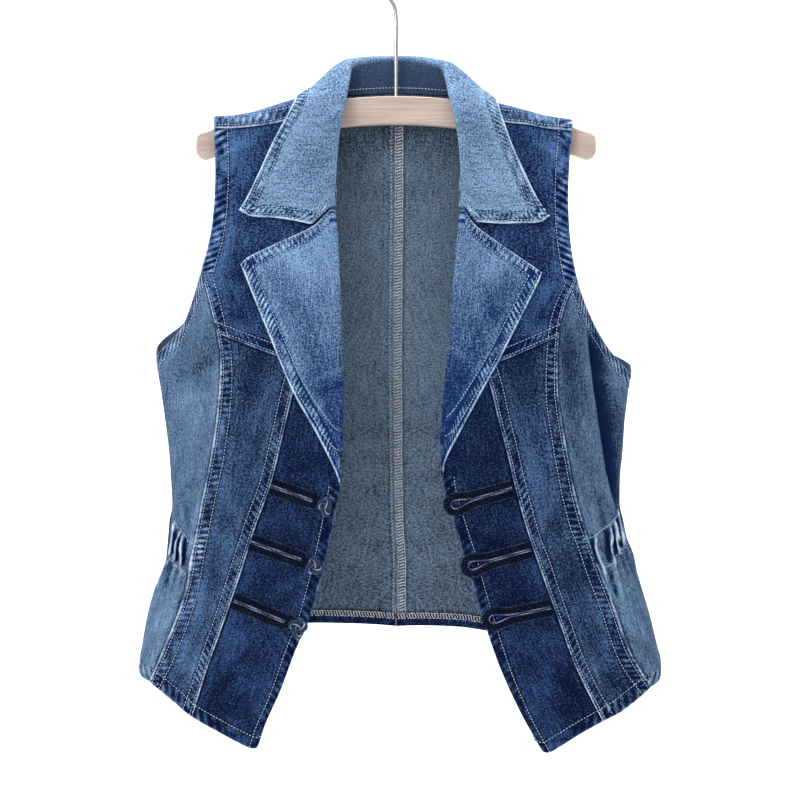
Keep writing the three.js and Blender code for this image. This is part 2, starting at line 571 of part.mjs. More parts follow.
// Front of one side: upper front, side front, middle front and centre front
function addFront(lines, suffix) {
  const shoulder = smoothLine(lines.shoulder);
  const armhole = smoothLine(lines.armhole);
  const hem = smoothLine(lines.hem);
  const rollEdge = lines.rollLine.map(([x, z], k) => {
    const share = k / (lines.rollLine.length - 1);
    const radius = foldRadius + (breakRadius - foldRadius) * share;
    return [x + lines.side * (radius + doubleWall / 2) * (1 - share ** 6), z];
  });
  const roll = smoothLine(rollEdge);
  const neckline = smoothLine([...lines.neckline.slice(0, -1), rollEdge[0]]);
  const split = fractionAt(armhole, 1, lines.armholeSplit);
  const hemSide = fractionAt(hem, 0, lines.sideSeam[lines.sideSeam.length - 1][0]);
  const hemFront = fractionAt(hem, 0, lines.frontSeam[lines.frontSeam.length - 1][0]);
  const sideSeam = smoothLine([armhole(split), ...lines.sideSeam.slice(1, -1), hem(hemSide)]);
  const yokeSplit = fractionAt(sideSeam, 1, lines.yokeLevel);
  const rollSplit = fractionAt(roll, 1, lines.yoke[lines.yoke.length - 1][1]);
  const yoke = smoothLine([sideSeam(yokeSplit), ...lines.yoke.slice(1, -1), roll(rollSplit)]);
  const yokeFront = fractionAt(yoke, 0, lines.frontSeam[0][0]);
  const frontSeam = smoothLine([yoke(yokeFront), ...lines.frontSeam.slice(1, -1), hem(hemFront)]);
  const frontEdge = smoothLine([roll(1), ...lines.frontEdge.slice(1, -1), hem(1)]);
  const side = sideLine(lines.side, lines.armhole[lines.armhole.length - 1][1], lines.hem[0][1], -1);
  const front = (line) => onFace(line, -1);

  const upper = patch(
    front(shoulder), front(yoke),
    front(chainLines(partLine(armhole, 0, split), partLine(sideSeam, 0, yokeSplit))),
    front(chainLines(neckline, partLine(roll, 0, rollSplit))),
  );
  addPiece(`front_upper_${suffix}`, panel(upper, evenSteps(upperSteps.across), evenSteps(upperSteps.down), wall),
    colours.side);

  const sidePatch = patch(
    front(partLine(armhole, 1, split)), front(partLine(hem, 0, hemSide)), side, front(sideSeam),
  );
  addPiece(`front_side_${suffix}`, panel(sidePatch, sideColumns, sideRows, wall), colours.washed);

  const middle = patch(
    front(partLine(yoke, 0, yokeFront)), front(partLine(hem, hemSide, hemFront)),
    front(partLine(sideSeam, yokeSplit, 1)), front(frontSeam),
  );
  addPiece(`front_middle_${suffix}`, panel(middle, evenSteps(middleSteps.across), evenSteps(middleSteps.down), wall),
    colours.side);

  const centre = patch(
    front(partLine(yoke, yokeFront, 1)), front(partLine(hem, hemFront, 1)),
    front(frontSeam), front(chainLines(partLine(roll, rollSplit, 1), frontEdge)),
  );
  addPiece(`front_centre_${suffix}`, panel(centre, evenSteps(centreSteps.across), evenSteps(centreSteps.down), wall),
    colours.deep);
  addLapel(lines, suffix, roll);
}

// Lapel: lies on the front, rolls over its edge and ends close behind it
function addLapel(lines, suffix, roll) {
  const front = (line) => onFace(line, -1);
  const lapelRoll = partLine(roll, fractionAt(roll, 1, lines.lapelTop), 1);
  const gorge = smoothLine([lapelRoll(0), ...lines.gorge.slice(1)]);
  const edgeLine = smoothLine([lines.gorge[lines.gorge.length - 1], ...lines.lapelEdge.slice(1, -1), roll(1)]);
  const place = patch(front(gorge), front(() => roll(1)), front(lapelRoll), front(edgeLine));
  const rest = wall / 2 + layerGap + doubleWall / 2;
  const rows = evenSteps(lapelSteps.down).map((step) => lapelRows.first + step * lapelRows.length);
  const outer = [];
  const inner = [];
  rows.forEach((t) => {
    const liftAt = (s) => rest + lapelLift * (1 - t) * Math.max(0, 1 - s / lapelOpenShare) ** 2;
    const outerRow = [];
    const innerRow = [];
    evenSteps(lapelSteps.across).reverse().forEach((s) => {
      const [turn, drop] = place(s, t);
      outerRow.push(offShell(turn, drop, liftAt(s) + doubleWall / 2));
      innerRow.push(offShell(turn, drop, liftAt(s) - doubleWall / 2));
    });
    const [turn, drop] = place(0, t);
    const base = shell(turn, drop);
    const normal = normalOf(shell, turn, drop);
    const inward = new THREE.Vector3(-lines.side, 0, 0).addScaledVector(normal, lines.side * normal.x).normalize();
    const half = (liftAt(0) + rest) / 2;
    const centre = base.clone().addScaledVector(normal, liftAt(0) - half);
    for (let k = 1; k <= lapelSteps.fold; k += 1) {
      const angle = Math.PI * k / lapelSteps.fold;
      const direction = normal.clone().multiplyScalar(Math.cos(angle)).addScaledVector(inward, Math.sin(angle));
      outerRow.push(centre.clone().addScaledVector(direction, half + doubleWall / 2));
      innerRow.push(centre.clone().addScaledVector(direction, half - doubleWall / 2));
    }
    outer.push(outerRow);
    inner.push(innerRow);
  });
  addPiece(`lapel_${suffix}`, closedWall(outer, inner), colours.washed);
}

addFront(leftLines, 'left');
addFront(rightLines, 'right');

// Back: one half each side of the centre seam, from the front shoulder seam over the ridge and down to the hem
const centreLine = (fraction) => {
  const start = [0, back.neckDrop];
  const end = placeOf(back.hemMiddle, 1);
  return [start[0] + (end[0] - start[0]) * fraction, start[1] + (end[1] - start[1]) * fraction];
};

function addBack(lines, armholePoints, suffix) {
  const shoulderPlaces = lines.shoulder.map((point) => placeOf(point, -1)).reverse();
  const neckLevel = lines.shoulder[0][1];
  const neckPlaces = [
    [centreLine(0)[0], back.neckDrop],
    [placeOf([lines.side * back.neckInner, neckLevel], 1)[0], back.neckDrop],
    [placeOf([lines.side * back.neckOuter, neckLevel], 1)[0], back.shoulderDrop],
    [shoulderPlaces[0][0], -back.shoulderDrop],
    shoulderPlaces[0],
  ];
  const lengthened = (places) => {
    const scaled = places.map(([turn, drop]) => [turn * back.turnLength, drop]);
    const line = smoothLine(scaled);
    const plain = (fraction) => {
      const [turn, drop] = line(fraction);
      return [turn / back.turnLength, drop];
    };
    plain.total = line.total;
    return plain;
  };
  const top = chainLines(lengthened(neckPlaces), lengthened(shoulderPlaces));
  const shoulderEnd = shoulderPlaces[shoulderPlaces.length - 1];
  const armhole = lengthened([
    shoulderEnd,
    [placeOf(armholePoints[0], 1)[0], 0],
    ...armholePoints.slice(1).map((point) => placeOf(point, 1)),
  ]);
  const side = sideLine(lines.side, lines.armhole[lines.armhole.length - 1][1], lines.hem[0][1], 1);
  const hemPoints = back.hem.filter(([x]) => x * lines.side >= 0)
    .sort((a, b) => Math.abs(a[0]) - Math.abs(b[0]));
  const hem = lengthened(hemPoints.map((point) => placeOf(point, 1)));
  const place = patch(top, hem, centreLine, chainLines(armhole, side));
  addPiece(`back_${suffix}`, panel(place, backColumns, backRows, wall), colours.inside);
  const turnedHem = (s, t) => {
    const height = shell(...place(s, 0.5)).distanceTo(shell(...place(s, 1))) * 2;
    return place(s, 1 - (1 - t) * hemDepth / height);
  };
  const inside = -(wall + layerGap);
  addPiece(`back_hem_${suffix}`, panel(turnedHem, backColumns, [0, 1], wall, () => inside), colours.dark);
}

addBack(leftLines, back.leftArmhole, 'left');
addBack(rightLines, back.rightArmhole, 'right');

// Overlocked allowance of the centre-back seam, pressed to one side on the inside
function addAllowance() {
  const half = sectionAt(layoutMiddle).half;
  const place = (s, t) => [(s * allowanceWidth - allowanceOffset) / half, centreLine(t)[1]];
  const length = centreLine(1)[1] - centreLine(0)[1];
  const top = allowanceStart / length;
  const bottom = 1 - (hemDepth + seamGap) / length;
  const rows = [top, ...backRows.filter((row) => row > top && row < bottom), bottom];
  addPiece('back_seam', panel(place, [0, 1], rows, wall, () => -(wall + allowanceGap)), colours.washed);
}

// Collar: stations round the neck, each from the neck seam up to the roll and over it down to the fall's edge
function frontAt(x, z, out) {
  const [turn, drop] = placeOf([x, z], -1);
  return offShell(turn, drop, out).y;
}

function stationRow(row, index) {
  const rest = wall / 2 + layerGap + doubleWall / 2;
  const onFront = row.face === 'front';
  return {
    index,
    neckX: row.neckX,
    neckY: onFront ? frontAt(row.neckX, row.neckZ, 0) : row.neckY,
    neckZ: row.neckZ,
    rollX: row.rollX,
    rollY: onFront ? frontAt(row.rollX, row.rollZ, row.stand) : row.rollY,
    rollZ: row.rollZ,
    edgeX: row.edgeX,
    edgeY: onFront ? frontAt(row.edgeX, row.edgeZ, rest) : row.edgeY,
    edgeZ: row.edgeZ,
  };
}

// Moves a point out until it clears the body by a distance
function clearBody(point, out) {
  const section = sectionAt(point.z);
  const across = Math.min(Math.abs(point.x - section.middle) / section.half, 0.99);
  const depth = (point.y < 0 ? section.front : section.back) * (1 - across ** sectionPower) ** (1 / sectionPower);
  const centre = readTable(ridge, 'x', 'z', point.x) - ridgeRadius;
  if (point.z < centre) {
    const sign = point.y < 0 ? -1 : 1;
    point.y = sign * Math.max(Math.abs(point.y), depth + out);
    return point;
  }
  const measure = Math.hypot(point.y / (depth + out), (point.z - centre) / (ridgeRadius + out));
  if (measure < 1) {
    point.y /= measure;
    point.z = centre + (point.z - centre) / measure;
  }
  return point;
}

function hermite(from, fromSlope, to, toSlope, part) {
  const square = part * part;
  const cube = square * part;
  return new THREE.Vector3()
    .addScaledVector(from, 2 * cube - 3 * square + 1).addScaledVector(fromSlope, cube - 2 * square + part)
    .addScaledVector(to, 3 * square - 2 * cube).addScaledVector(toSlope, cube - square);
}

function addCollar() {
  const rows = [...collarLeft, ...collarMiddle, ...collarRight].map(stationRow);
  const last = rows.length - 1;
  const rest = wall / 2 + layerGap + doubleWall / 2;
  const middle = [];
  const stops = [...collarStops, ...collarStops.slice(0, -1).reverse().map((stop) => last - stop)];
  stops.forEach((index) => {
    const corner = (name) => new THREE.Vector3(...['X', 'Y', 'Z']
      .map((axis) => readTable(rows, 'index', name + axis, index)));
    const [neck, roll, edge] = ['neck', 'roll', 'edge'].map(corner);
    const up = roll.clone().sub(neck);
    const down = edge.clone().sub(roll);
    const over = down.clone().normalize().add(up.clone().normalize()).normalize();
    const standPull = Math.min(Math.sqrt(6 * up.length() * foldRadius), 1.5 * up.length());
    const fallPull = Math.min(Math.sqrt(6 * down.length() * foldRadius), down.length());
    const path = [];
    for (let k = 0; k < standSteps; k += 1) {
      path.push(hermite(neck, up, roll, over.clone().multiplyScalar(standPull), k / standSteps));
    }
    const [end, away] = index < last / 2 ? [collarEnds.left, index] : [collarEnds.right, last - index];
    const endLine = chainLines(smoothLine(end.gorge), smoothLine(end.edge));
    const endShare = Math.max(0, 1 - away / collarEndReach) ** 2;
    for (let k = 0; k <= fallSteps; k += 1) {
      const point = hermite(roll, over.clone().multiplyScalar(fallPull), edge, down, k / fallSteps);
      const [endX, endZ] = endLine(k / fallSteps);
      point.x += (endX - point.x) * endShare;
      point.z += (endZ - point.z) * endShare;
      path.push(k < 2 ? point : clearBody(point, rest + collarClearance));
    }
    middle.push(path);
  });
  addPiece('collar', wallFromMiddle(middle, doubleWall), colours.washed);
}

// Wall of a given thickness round a grid of middle points
function wallFromMiddle(grid, thick) {
  const within = (index, count) => THREE.MathUtils.clamp(index, 0, count - 1);
  const pick = (i, j) => grid[within(i, grid.length)][within(j, grid[0].length)];
  const shifted = (side) => grid.map((row, i) => row.map((point, j) => {
    const along = pick(i + 1, j).clone().sub(pick(i - 1, j));
    const across = pick(i, j + 1).clone().sub(pick(i, j - 1));
    return point.clone().addScaledVector(along.cross(across).normalize(), side * thick / 2);
  }));
  return closedWall(shifted(1), shifted(-1));
}

addAllowance();
addCollar();

// Tube through rings of points, closed at both ends
function tubeFromRings(rings) {
  const sides = rings[0].length;
  const positions = rings.flat().flatMap((point) => truePoint(point.x, point.y, point.z).toArray());
  const faces = [];
  for (let i = 0; i < rings.length - 1; i += 1) {
    for (let k = 0; k < sides; k += 1) {
      const next = (k + 1) % sides;
      const [a, b] = [i * sides + k, i * sides + next];
      const [c, d] = [(i + 1) * sides + k, (i + 1) * sides + next];
      faces.push(a, b, d, a, d, c);
    }
  }
  const lastRing = (rings.length - 1) * sides;
  for (let k = 1; k < sides - 1; k += 1) {
    faces.push(0, k + 1, k);
    faces.push(lastRing, lastRing + k, lastRing + k + 1);
  }
  const geometry = new THREE.BufferGeometry();
  geometry.setAttribute('position', new THREE.Float32BufferAttribute(positions, 3));
  geometry.setIndex(faces);
  return facingOut(geometry);
}

// Rouleau tape: one flat tube that runs out along the front, turns at its tip and comes back beside itself
function addTape(row) {
  const start = new THREE.Vector2(row.x, row.z);
  const tip = new THREE.Vector2(row.tipX, row.tipZ);
  const ahead = tip.clone().sub(start).normalize();
  const beside = new THREE.Vector2(-ahead.y, ahead.x);
  const length = start.distanceTo(tip);
  const spacing = tapeWidth / 2 + tapeApart / 2;
  const route = [];
  const addPoint = (along, aside) => route.push(start.clone()
    .addScaledVector(ahead, along).addScaledVector(beside, aside));
  const straight = length - spacing - row.eye - tapeWidth / 2;
  const openingAt = (along) => row.eye * THREE.MathUtils.smoothstep(along, straight - eyeLength, straight);
  const stops = [0, 0.25, 0.5, 0.7, 0.85, 1].map((share) => share * straight);
  stops.forEach((along) => addPoint(along, spacing + openingAt(along)));
  for (let k = 1; k < tipSteps; k += 1) {
    const angle = Math.PI * k / tipSteps;
    addPoint(straight + (spacing + row.eye) * Math.sin(angle), (spacing + row.eye) * Math.cos(angle));
  }
  [...stops].reverse().forEach((along) => addPoint(along, -spacing - openingAt(along)));
  const out = wall / 2 + layerGap + tapeThick / 2;
  const placed = route.map((point) => placeOf([point.x, point.y], -1));
  const centres = placed.map(([turn, drop]) => offShell(turn, drop, out));
  const rings = centres.map((centre, k) => {
    const direction = centres[Math.min(k + 1, centres.length - 1)].clone()
      .sub(centres[Math.max(k - 1, 0)]).normalize();
    const normal = normalOf(shell, ...placed[k]);
    const side = normal.clone().cross(direction).normalize();
    return tapeSection.map(({ across, high }) => centre.clone()
      .addScaledVector(side, across * tapeWidth / 2).addScaledVector(normal, high * tapeThick / 2));
  });
  addPiece(row.name, tubeFromRings(rings), colours.dark);
}

// Knot button: a rounded lump with three soft lobes, on the front at the tape's tip
function addKnot(row) {
  const geometry = new THREE.SphereGeometry(1, 12, 8);
  const position = geometry.attributes.position;
  const [turn, drop] = placeOf([row.x, row.z], -1);
  const centre = offShell(turn, drop, wall / 2 + layerGap + knotDepth / 2);
  for (let k = 0; k < position.count; k += 1) {
    const point = new THREE.Vector3().fromBufferAttribute(position, k);
    const lobe = 1 - knotLobe * Math.abs(Math.sin(3 * Math.atan2(point.z, point.x))) * (1 - Math.abs(point.y));
    const placed = truePoint(
      centre.x + point.x * lobe * row.width / 2,
      centre.y + point.y * knotDepth / 2,
      centre.z + point.z * lobe * row.height / 2,
    );
    position.setXYZ(k, placed.x, placed.y, placed.z);
  }
  geometry.computeVertexNormals();
  addPiece(row.name, geometry, colours.dark);
}

tapes.forEach(addTape);
knots.forEach(addKnot);

// Hanger: an arched flat bar with round ends, and a wire hook that stands on it
function addBar() {
  const topAt = (x) => barTop - barArch * x * x;
  const inner = barHalfLength - barEndRadius;
  const outline = new THREE.Shape();
  const points = evenSteps(barSteps).map((step) => -inner + 2 * inner * step);
  outline.moveTo(points[0], topAt(points[0]));
  points.slice(1).forEach((x) => outline.lineTo(x, topAt(x)));
  outline.absarc(inner, topAt(inner) - barEndRadius, barEndRadius, Math.PI / 2, 0, true);
  outline.absarc(inner, topAt(inner) - barHeight + barEndRadius, barEndRadius, 0, -Math.PI / 2, true);
  points.slice(0, -1).reverse().forEach((x) => outline.lineTo(x, topAt(x) - barHeight));
  outline.absarc(-inner, topAt(inner) - barHeight + barEndRadius, barEndRadius, -Math.PI / 2, -Math.PI, true);
  outline.absarc(-inner, topAt(inner) - barEndRadius, barEndRadius, Math.PI, Math.PI / 2, true);
  const geometry = new THREE.ExtrudeGeometry(outline, {
    depth: barThick - 2 * barBevel,
    bevelSize: barBevel,
    bevelThickness: barBevel,
    bevelOffset: -barBevel,
    bevelSegments: 1,
    curveSegments: 4,
  });
  geometry.rotateX(Math.PI / 2);
  geometry.translate(0, (barThick - 2 * barBevel) / 2, 0);
  addPiece('hanger_bar', geometry, colours.wood, 0.55);
}

function addHook() {
  const radius = hookInnerRadius + wireDiameter / 2;
  const centreZ = -hookInnerRadius;
  const route = [];
  for (let degrees = hookMouthAngle; degrees <= hookBackAngle; degrees += 20) {
    const angle = degrees * Math.PI / 180;
    route.push(new THREE.Vector3(radius * Math.cos(angle), 0, centreZ + radius * Math.sin(angle)));
  }
  route.push(new THREE.Vector3(-3, 0, centreZ - radius - 8), new THREE.Vector3(0, 0, centreZ - radius - 22));
  route.push(new THREE.Vector3(0, 0, (centreZ - radius + barTop) / 2), new THREE.Vector3(0, 0, barTop + hookSeat));
  const section = new THREE.Shape();
  section.absarc(0, 0, wireDiameter / 2, 0, 2 * Math.PI, false);
  const geometry = new THREE.ExtrudeGeometry(section, {
    steps: hookSteps,
    curveSegments: 4,
    extrudePath: new THREE.CatmullRomCurve3(route, false, 'centripetal'),
  });
  addPiece('hanger_hook', geometry, colours.steel, 0.35, 1);
}

addBar();
addHook();

export default vest;
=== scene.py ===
import math

import bpy
import numpy as np
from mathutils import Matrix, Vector


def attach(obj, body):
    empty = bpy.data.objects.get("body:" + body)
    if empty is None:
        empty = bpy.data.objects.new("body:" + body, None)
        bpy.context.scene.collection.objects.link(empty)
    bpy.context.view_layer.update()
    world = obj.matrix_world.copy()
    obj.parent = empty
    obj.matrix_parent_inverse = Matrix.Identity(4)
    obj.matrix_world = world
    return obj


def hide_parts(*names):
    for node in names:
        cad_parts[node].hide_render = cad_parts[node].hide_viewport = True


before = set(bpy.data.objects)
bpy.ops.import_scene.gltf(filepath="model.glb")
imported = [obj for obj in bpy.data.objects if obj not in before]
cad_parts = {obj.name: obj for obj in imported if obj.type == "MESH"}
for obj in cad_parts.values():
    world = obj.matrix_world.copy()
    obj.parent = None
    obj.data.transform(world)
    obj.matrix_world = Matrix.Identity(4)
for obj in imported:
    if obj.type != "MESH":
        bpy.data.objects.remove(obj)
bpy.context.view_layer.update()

mm = 0.001


def clearSelection():
    bpy.ops.object.select_all(action="DESELECT")


# rows with named columns; named() keeps each under the name that it starts with
def table(columns, *rows):
    return [dict(zip(columns.split(), row)) for row in rows]


def named(columns, *rows):
    return {row["name"]: row for row in table("name " + columns, *rows)}


# the start-up file's own objects aren't part of this scene
clearSelection()
for name in ("Cube", "Light", "Camera"):
    if name in bpy.data.objects:
        bpy.data.objects[name].select_set(True)
bpy.ops.object.delete()

# camera: the photo's straight view, with the garment 1.77 m away at 1 mm to a pixel
camera = {"place": (0.004, -1.8, -0.453), "focal": 1770, "sensor": 36.0, "image": 800, "farthest": 50}

clearSelection()
bpy.ops.object.camera_add(location=camera["place"], rotation=(math.pi / 2, 0, 0))
cameraObject = bpy.context.object
cameraObject.data.sensor_width = camera["sensor"]
cameraObject.data.lens = camera["focal"] * camera["sensor"] / camera["image"]
cameraObject.data.clip_end = camera["farthest"]
bpy.context.scene.camera = cameraObject
print("camera set")

# Garment layout, in millimetres. x and z are as seen from the eye on the plane y = -30,
# and truePoint carries deeper or nearer points to their real place along the line of sight.
layout = {"eye": (4, -1800, -453), "plane": -30, "power": 4, "ridgeRadius": 10}
cloth = {"wall": 1.2, "double": 2.2, "margin": 0.05, "layerGap": 0.5, "lapelLift": 4, "foldRadius": 4.2,
         "breakRadius": 2.2, "smoothAngle": 50}
quarterRidge = layout["ridgeRadius"] * math.pi / 2
doubleRest = cloth["wall"] / 2 + cloth["layerGap"] + cloth["double"] / 2

girth = {
    "z": [-140, -190, -260, -340, -413, -446, -481, -533, -583, -612, -645, -680, -718, -810],
    "left": [-237, -237, -237.5, -238.5, -238.5, -234, -229, -224.5, -224.5, -231, -242, -250.5, -255.5,
        -257],
    "right": [237, 237, 237, 236.5, 235.5, 231.5, 227.5, 223.5, 226, 236.5, 246.5, 256, 263.5, 265],
    "front": [10.5, 13, 22, 30, 35, 36, 36, 36, 37, 38, 39, 41, 42, 43],
    "back": [10.5, 12.5, 18, 24, 28, 28, 27, 26, 27, 28, 29, 30, 30, 31],
}
ridge = {
    "x": [-245, -182, -160, -136, -99, -60, 0, 60, 97, 132, 150, 180, 245],
    "z": [-174, -170, -168, -163, -152, -147, -143.5, -147, -154.5, -164, -169, -174.5, -180],
}

# creases of the body: depth is negative for a trough, and angle is the lean from upright in degrees
creaseColumns = "x z angle length width depth"
largeCreases = {
    "front": table(
        creaseColumns,
        (198, -405, -9, 42, 8, -5), (208, -490, -9, 60, 8, -6), (190, -460, -8, 90, 7, 2.5),
        (221, -485, -4, 45, 6, 2.5), (214, -640, -24, 45, 9, -3), (-203, -556, 24, 26, 7, -3),
        (-212, -500, 8, 50, 9, -2.5), (-207, -650, 22, 40, 9, -3), (-150, -250, 12, 60, 16, -3),
        (148, -262, -10, 60, 16, -3), (-230, -608, 8, 20, 12, -3)),
    "back": table(
        creaseColumns,
        (-30, -520, 80, 110, 11, -3), (40, -548, 97, 100, 10, 2.5), (10, -574, 88, 90, 9, -2.5),
        (-120, -330, 25, 90, 18, -3.5), (125, -340, -22, 90, 18, -3.5), (-190, -500, 10, 70, 12, -3),
        (192, -505, -12, 70, 12, -3), (-230, -608, 8, 20, 12, -3)),
}
gathers = {"level": -591, "slope": 0.5, "halfHeight": 24, "pitch": 10, "depth": 2.4, "front": 58, "back": 48}

# small creases that only the cloth's surface carries
smallCreases = {
    "front": table(
        creaseColumns,
        (-160, -200, 65, 26, 5, 0.8), (-132, -228, 40, 34, 6, -0.9), (-168, -300, 15, 30, 5, 0.9),
        (-140, -352, -30, 34, 6, -0.8), (-196, -420, 60, 24, 5, -1), (-205, -452, 72, 26, 5, 0.9),
        (-140, -470, 20, 60, 7, 0.9), (-95, -520, 75, 26, 5, -0.8), (-110, -640, 60, 30, 6, 0.8),
        (-170, -735, 35, 34, 6, -0.9), (156, -205, -60, 28, 5, 0.8), (130, -240, -38, 30, 6, -0.8),
        (150, -345, 28, 36, 6, 0.9), (205, -430, -68, 22, 5, 1), (130, -500, -22, 60, 7, 0.9),
        (80, -590, -70, 26, 5, -0.8), (128, -700, -55, 32, 6, 0.8), (180, -745, -40, 30, 6, -0.9)),
    "back": table(
        creaseColumns,
        (-40, -500, 85, 50, 5, 1), (30, -530, 92, 60, 5, -1.2), (-20, -556, 78, 44, 5, 1),
        (50, -590, 96, 50, 5, -0.8), (-60, -250, 40, 50, 7, -1), (70, -420, -35, 60, 8, 1.1),
        (-150, -600, 60, 50, 8, -1.2), (160, -620, -62, 50, 8, 1.1)),
}

# seam and edge lines of each front, as (x, z)
leftLines = {
    "side": -1,
    "shoulder": [(-182, -181), (-155, -180.5), (-134, -178), (-115, -174.5), (-68, -166)],
    "armhole": [(-182, -181), (-181, -233), (-185, -283), (-195, -323), (-206, -360), (-216, -383),
        (-236, -405), (-238.5, -413)],
    "armholeSplit": -323,
    "neckline": [(-68, -166), (-69, -200), (-66.3, -258)],
    "rollLine": [(-61, -258), (-58, -293), (-55, -353), (-52.8, -425), (-53.5, -493), (-55.6, -541)],
    "frontEdge": [(-55.6, -541), (-62, -573), (-73, -623), (-86, -669.5), (-101, -705), (-116, -745),
        (-130, -776), (-142, -802)],
    "hem": [(-255.5, -723), (-246, -734.5), (-226, -752), (-204, -770), (-176, -786), (-153, -798.2),
        (-144, -801.7), (-139.5, -801), (-137, -797)],
    "sideSeam": [(-196, -323), (-184, -365), (-176.3, -403), (-177, -446), (-184, -503), (-193, -550),
        (-201, -592), (-211, -642), (-225, -683), (-246, -734.5)],
    "frontSeam": [(-94, -417), (-103, -445), (-114.3, -493), (-125.5, -538), (-141, -581), (-156.5, -630),
        (-175, -683), (-188.4, -720), (-204, -770)],
    "yokeLevel": -386,
    "yoke": [(-179, -386), (-156, -395), (-130, -405), (-94, -417), (-60, -427)],
    "lapelEdge": [(-155.5, -317), (-145.3, -343), (-126.3, -390), (-104, -443), (-80, -486), (-61, -524),
        (-55.6, -541)],
    "lapelTop": -262.5,
    "gorge": [(-66, -262.5), (-71, -267.5), (-84, -279), (-116, -294), (-149, -310), (-155.5, -317)],
    "backArmhole": [(-182, -168), (-175, -233), (-178, -293), (-192, -340), (-219, -382), (-238.5, -413)],
    "lapelShade": -0.01,
}
rightLines = {
    "side": 1,
    "shoulder": [(176.5, -183.5), (149, -181), (132, -177.5), (108.7, -175), (68, -168)],
    "armhole": [(176.5, -183.5), (173.7, -214), (172.5, -256), (175.4, -300), (184, -341), (199, -377.5),
        (214, -403), (235, -427)],
    "armholeSplit": -331,
    "neckline": [(68, -168), (69.5, -202), (69.2, -258)],
    "rollLine": [(64, -258), (60, -300), (55.5, -352), (54, -386), (49.7, -421), (47.4, -455), (45, -493),
        (46.8, -531)],
    "frontEdge": [(46.8, -531), (49, -546), (58, -576), (68.7, -610), (78, -642), (92, -687.6),
        (105.7, -725), (124.7, -766), (149, -807)],
    "hem": [(263.5, -724), (254.5, -740), (228, -763), (207, -774.5), (183, -788), (163, -800.5),
        (153.5, -805.6), (147.5, -805), (144, -800.5)],
    "sideSeam": [(181, -331), (167.8, -362), (162.5, -393), (162, -446), (167, -481), (173, -515),
        (180.7, -553), (192, -591), (202, -618), (217.8, -659), (233, -702), (254.5, -740)],
    "frontSeam": [(88, -420), (95.4, -443), (102, -471), (111.8, -508.5), (118.7, -538), (130.7, -582),
        (147, -630), (162.6, -673), (180, -720), (207, -774.5)],
    "yokeLevel": -389,
    "yoke": [(162.6, -389), (135, -401.6), (106, -413.7), (88, -420), (55, -431)],
    "lapelEdge": [(146, -325), (142, -336), (124.7, -371), (104, -412), (83, -450), (61, -491), (49, -515),
        (46.8, -531)],
    "lapelTop": -263,
    "gorge": [(69, -263), (71.5, -267), (79, -277), (104, -296), (132, -315), (146, -325)],
    "backArmhole": [(177, -172), (168, -235), (168, -295), (180, -352), (203, -402), (235, -427)],
    # the right lapel is painted darker than the left: painted shade
    "lapelShade": -0.13,
}
back = {
    "neckDrop": 9,
    "turnLength": 150,
    "hemDepth": 13,
    "hem": [(-255.5, -723), (-205, -700), (-140, -681), (-81, -674), (0, -679), (79, -680.5), (145, -690),
        (210, -706), (263.5, -724)],
}


def hermiteRead(xs, ys, at):
    xs = np.asarray(xs, float)
    ys = np.asarray(ys, float)
    if xs[0] > xs[-1]:
        xs = xs[::-1]
        ys = ys[::-1]
    slopes = np.empty_like(ys)
    slopes[1:-1] = (ys[2:] - ys[:-2]) / (xs[2:] - xs[:-2])
    slopes[0] = (ys[1] - ys[0]) / (xs[1] - xs[0])
    slopes[-1] = (ys[-1] - ys[-2]) / (xs[-1] - xs[-2])
    k = np.clip(np.searchsorted(xs, at, side="right") - 1, 0, len(xs) - 2)
    span = xs[k + 1] - xs[k]
    part = np.clip((at - xs[k]) / span, 0, 1)
    square = part * part
    cube = square * part
    return ((2 * cube - 3 * square + 1) * ys[k] + (cube - 2 * square + part) * span * slopes[k]
            + (3 * square - 2 * cube) * ys[k + 1] + (cube - square) * span * slopes[k + 1])


def smoothStep(low, high, value):
    part = np.clip((value - low) / (high - low), 0, 1)
    return part * part * (3 - 2 * part)


def window(opens, opened, closes, closed, value):
    return smoothStep(opens, opened, value) * (1 - smoothStep(closes, closed, value))


def unit(vectors):
    return vectors / np.linalg.norm(vectors, axis=-1, keepdims=True)


# a Gaussian bump
def bell(distance, width):
    return np.exp(-(distance / width) ** 2)


# the way along rows of points, from 0
def runLength(points, axis=0):
    steps = np.cumsum(np.linalg.norm(np.diff(points, axis=axis), axis=-1), axis)
    return np.concatenate([np.zeros_like(np.take(steps, [0], axis)), steps], axis)


# a smooth line through points; it gives the point at each fraction of its length
def smoothLine(points, perPoint=8):
    points = np.asarray(points, float)
    stops = runLength(points)
    fine = np.concatenate([stops[k] + (stops[k + 1] - stops[k]) * np.arange(perPoint) / perPoint
                           for k in range(len(points) - 1)] + [[stops[-1]]])
    dense = np.stack([hermiteRead(stops, column, fine) for column in points.T], -1)
    lengths = runLength(dense)

    def line(fraction):
        place = np.clip(fraction, 0, 1) * lengths[-1]
        return np.stack([np.interp(place, lengths, column) for column in dense.T], -1)

    line.total = lengths[-1]
    return line


def partLine(line, start, end):
    def piece(fraction):
        return line(start + (end - start) * np.asarray(fraction, float))

    piece.total = line.total * abs(end - start)
    return piece


def chainLines(*lines):
    ends = np.cumsum([line.total for line in lines])

    def chain(fraction):
        place = np.clip(np.asarray(fraction, float), 0, 1) * ends[-1]
        result = lines[0](place / lines[0].total)
        for k in range(1, len(lines)):
            nextPart = lines[k](np.clip((place - ends[k - 1]) / lines[k].total, 0, 1))
            result = np.where((place > ends[k - 1])[..., None], nextPart, result)
        return result

    chain.total = ends[-1]
    return chain


def fractionAt(line, axis, value):
    rising = line(1.0)[axis] > line(0.0)[axis]
    low, high = 0.0, 1.0
    for _ in range(40):
        middle = (low + high) / 2
        if (line(middle)[axis] < value) == rising:
            low = middle
        else:
            high = middle
    return (low + high) / 2


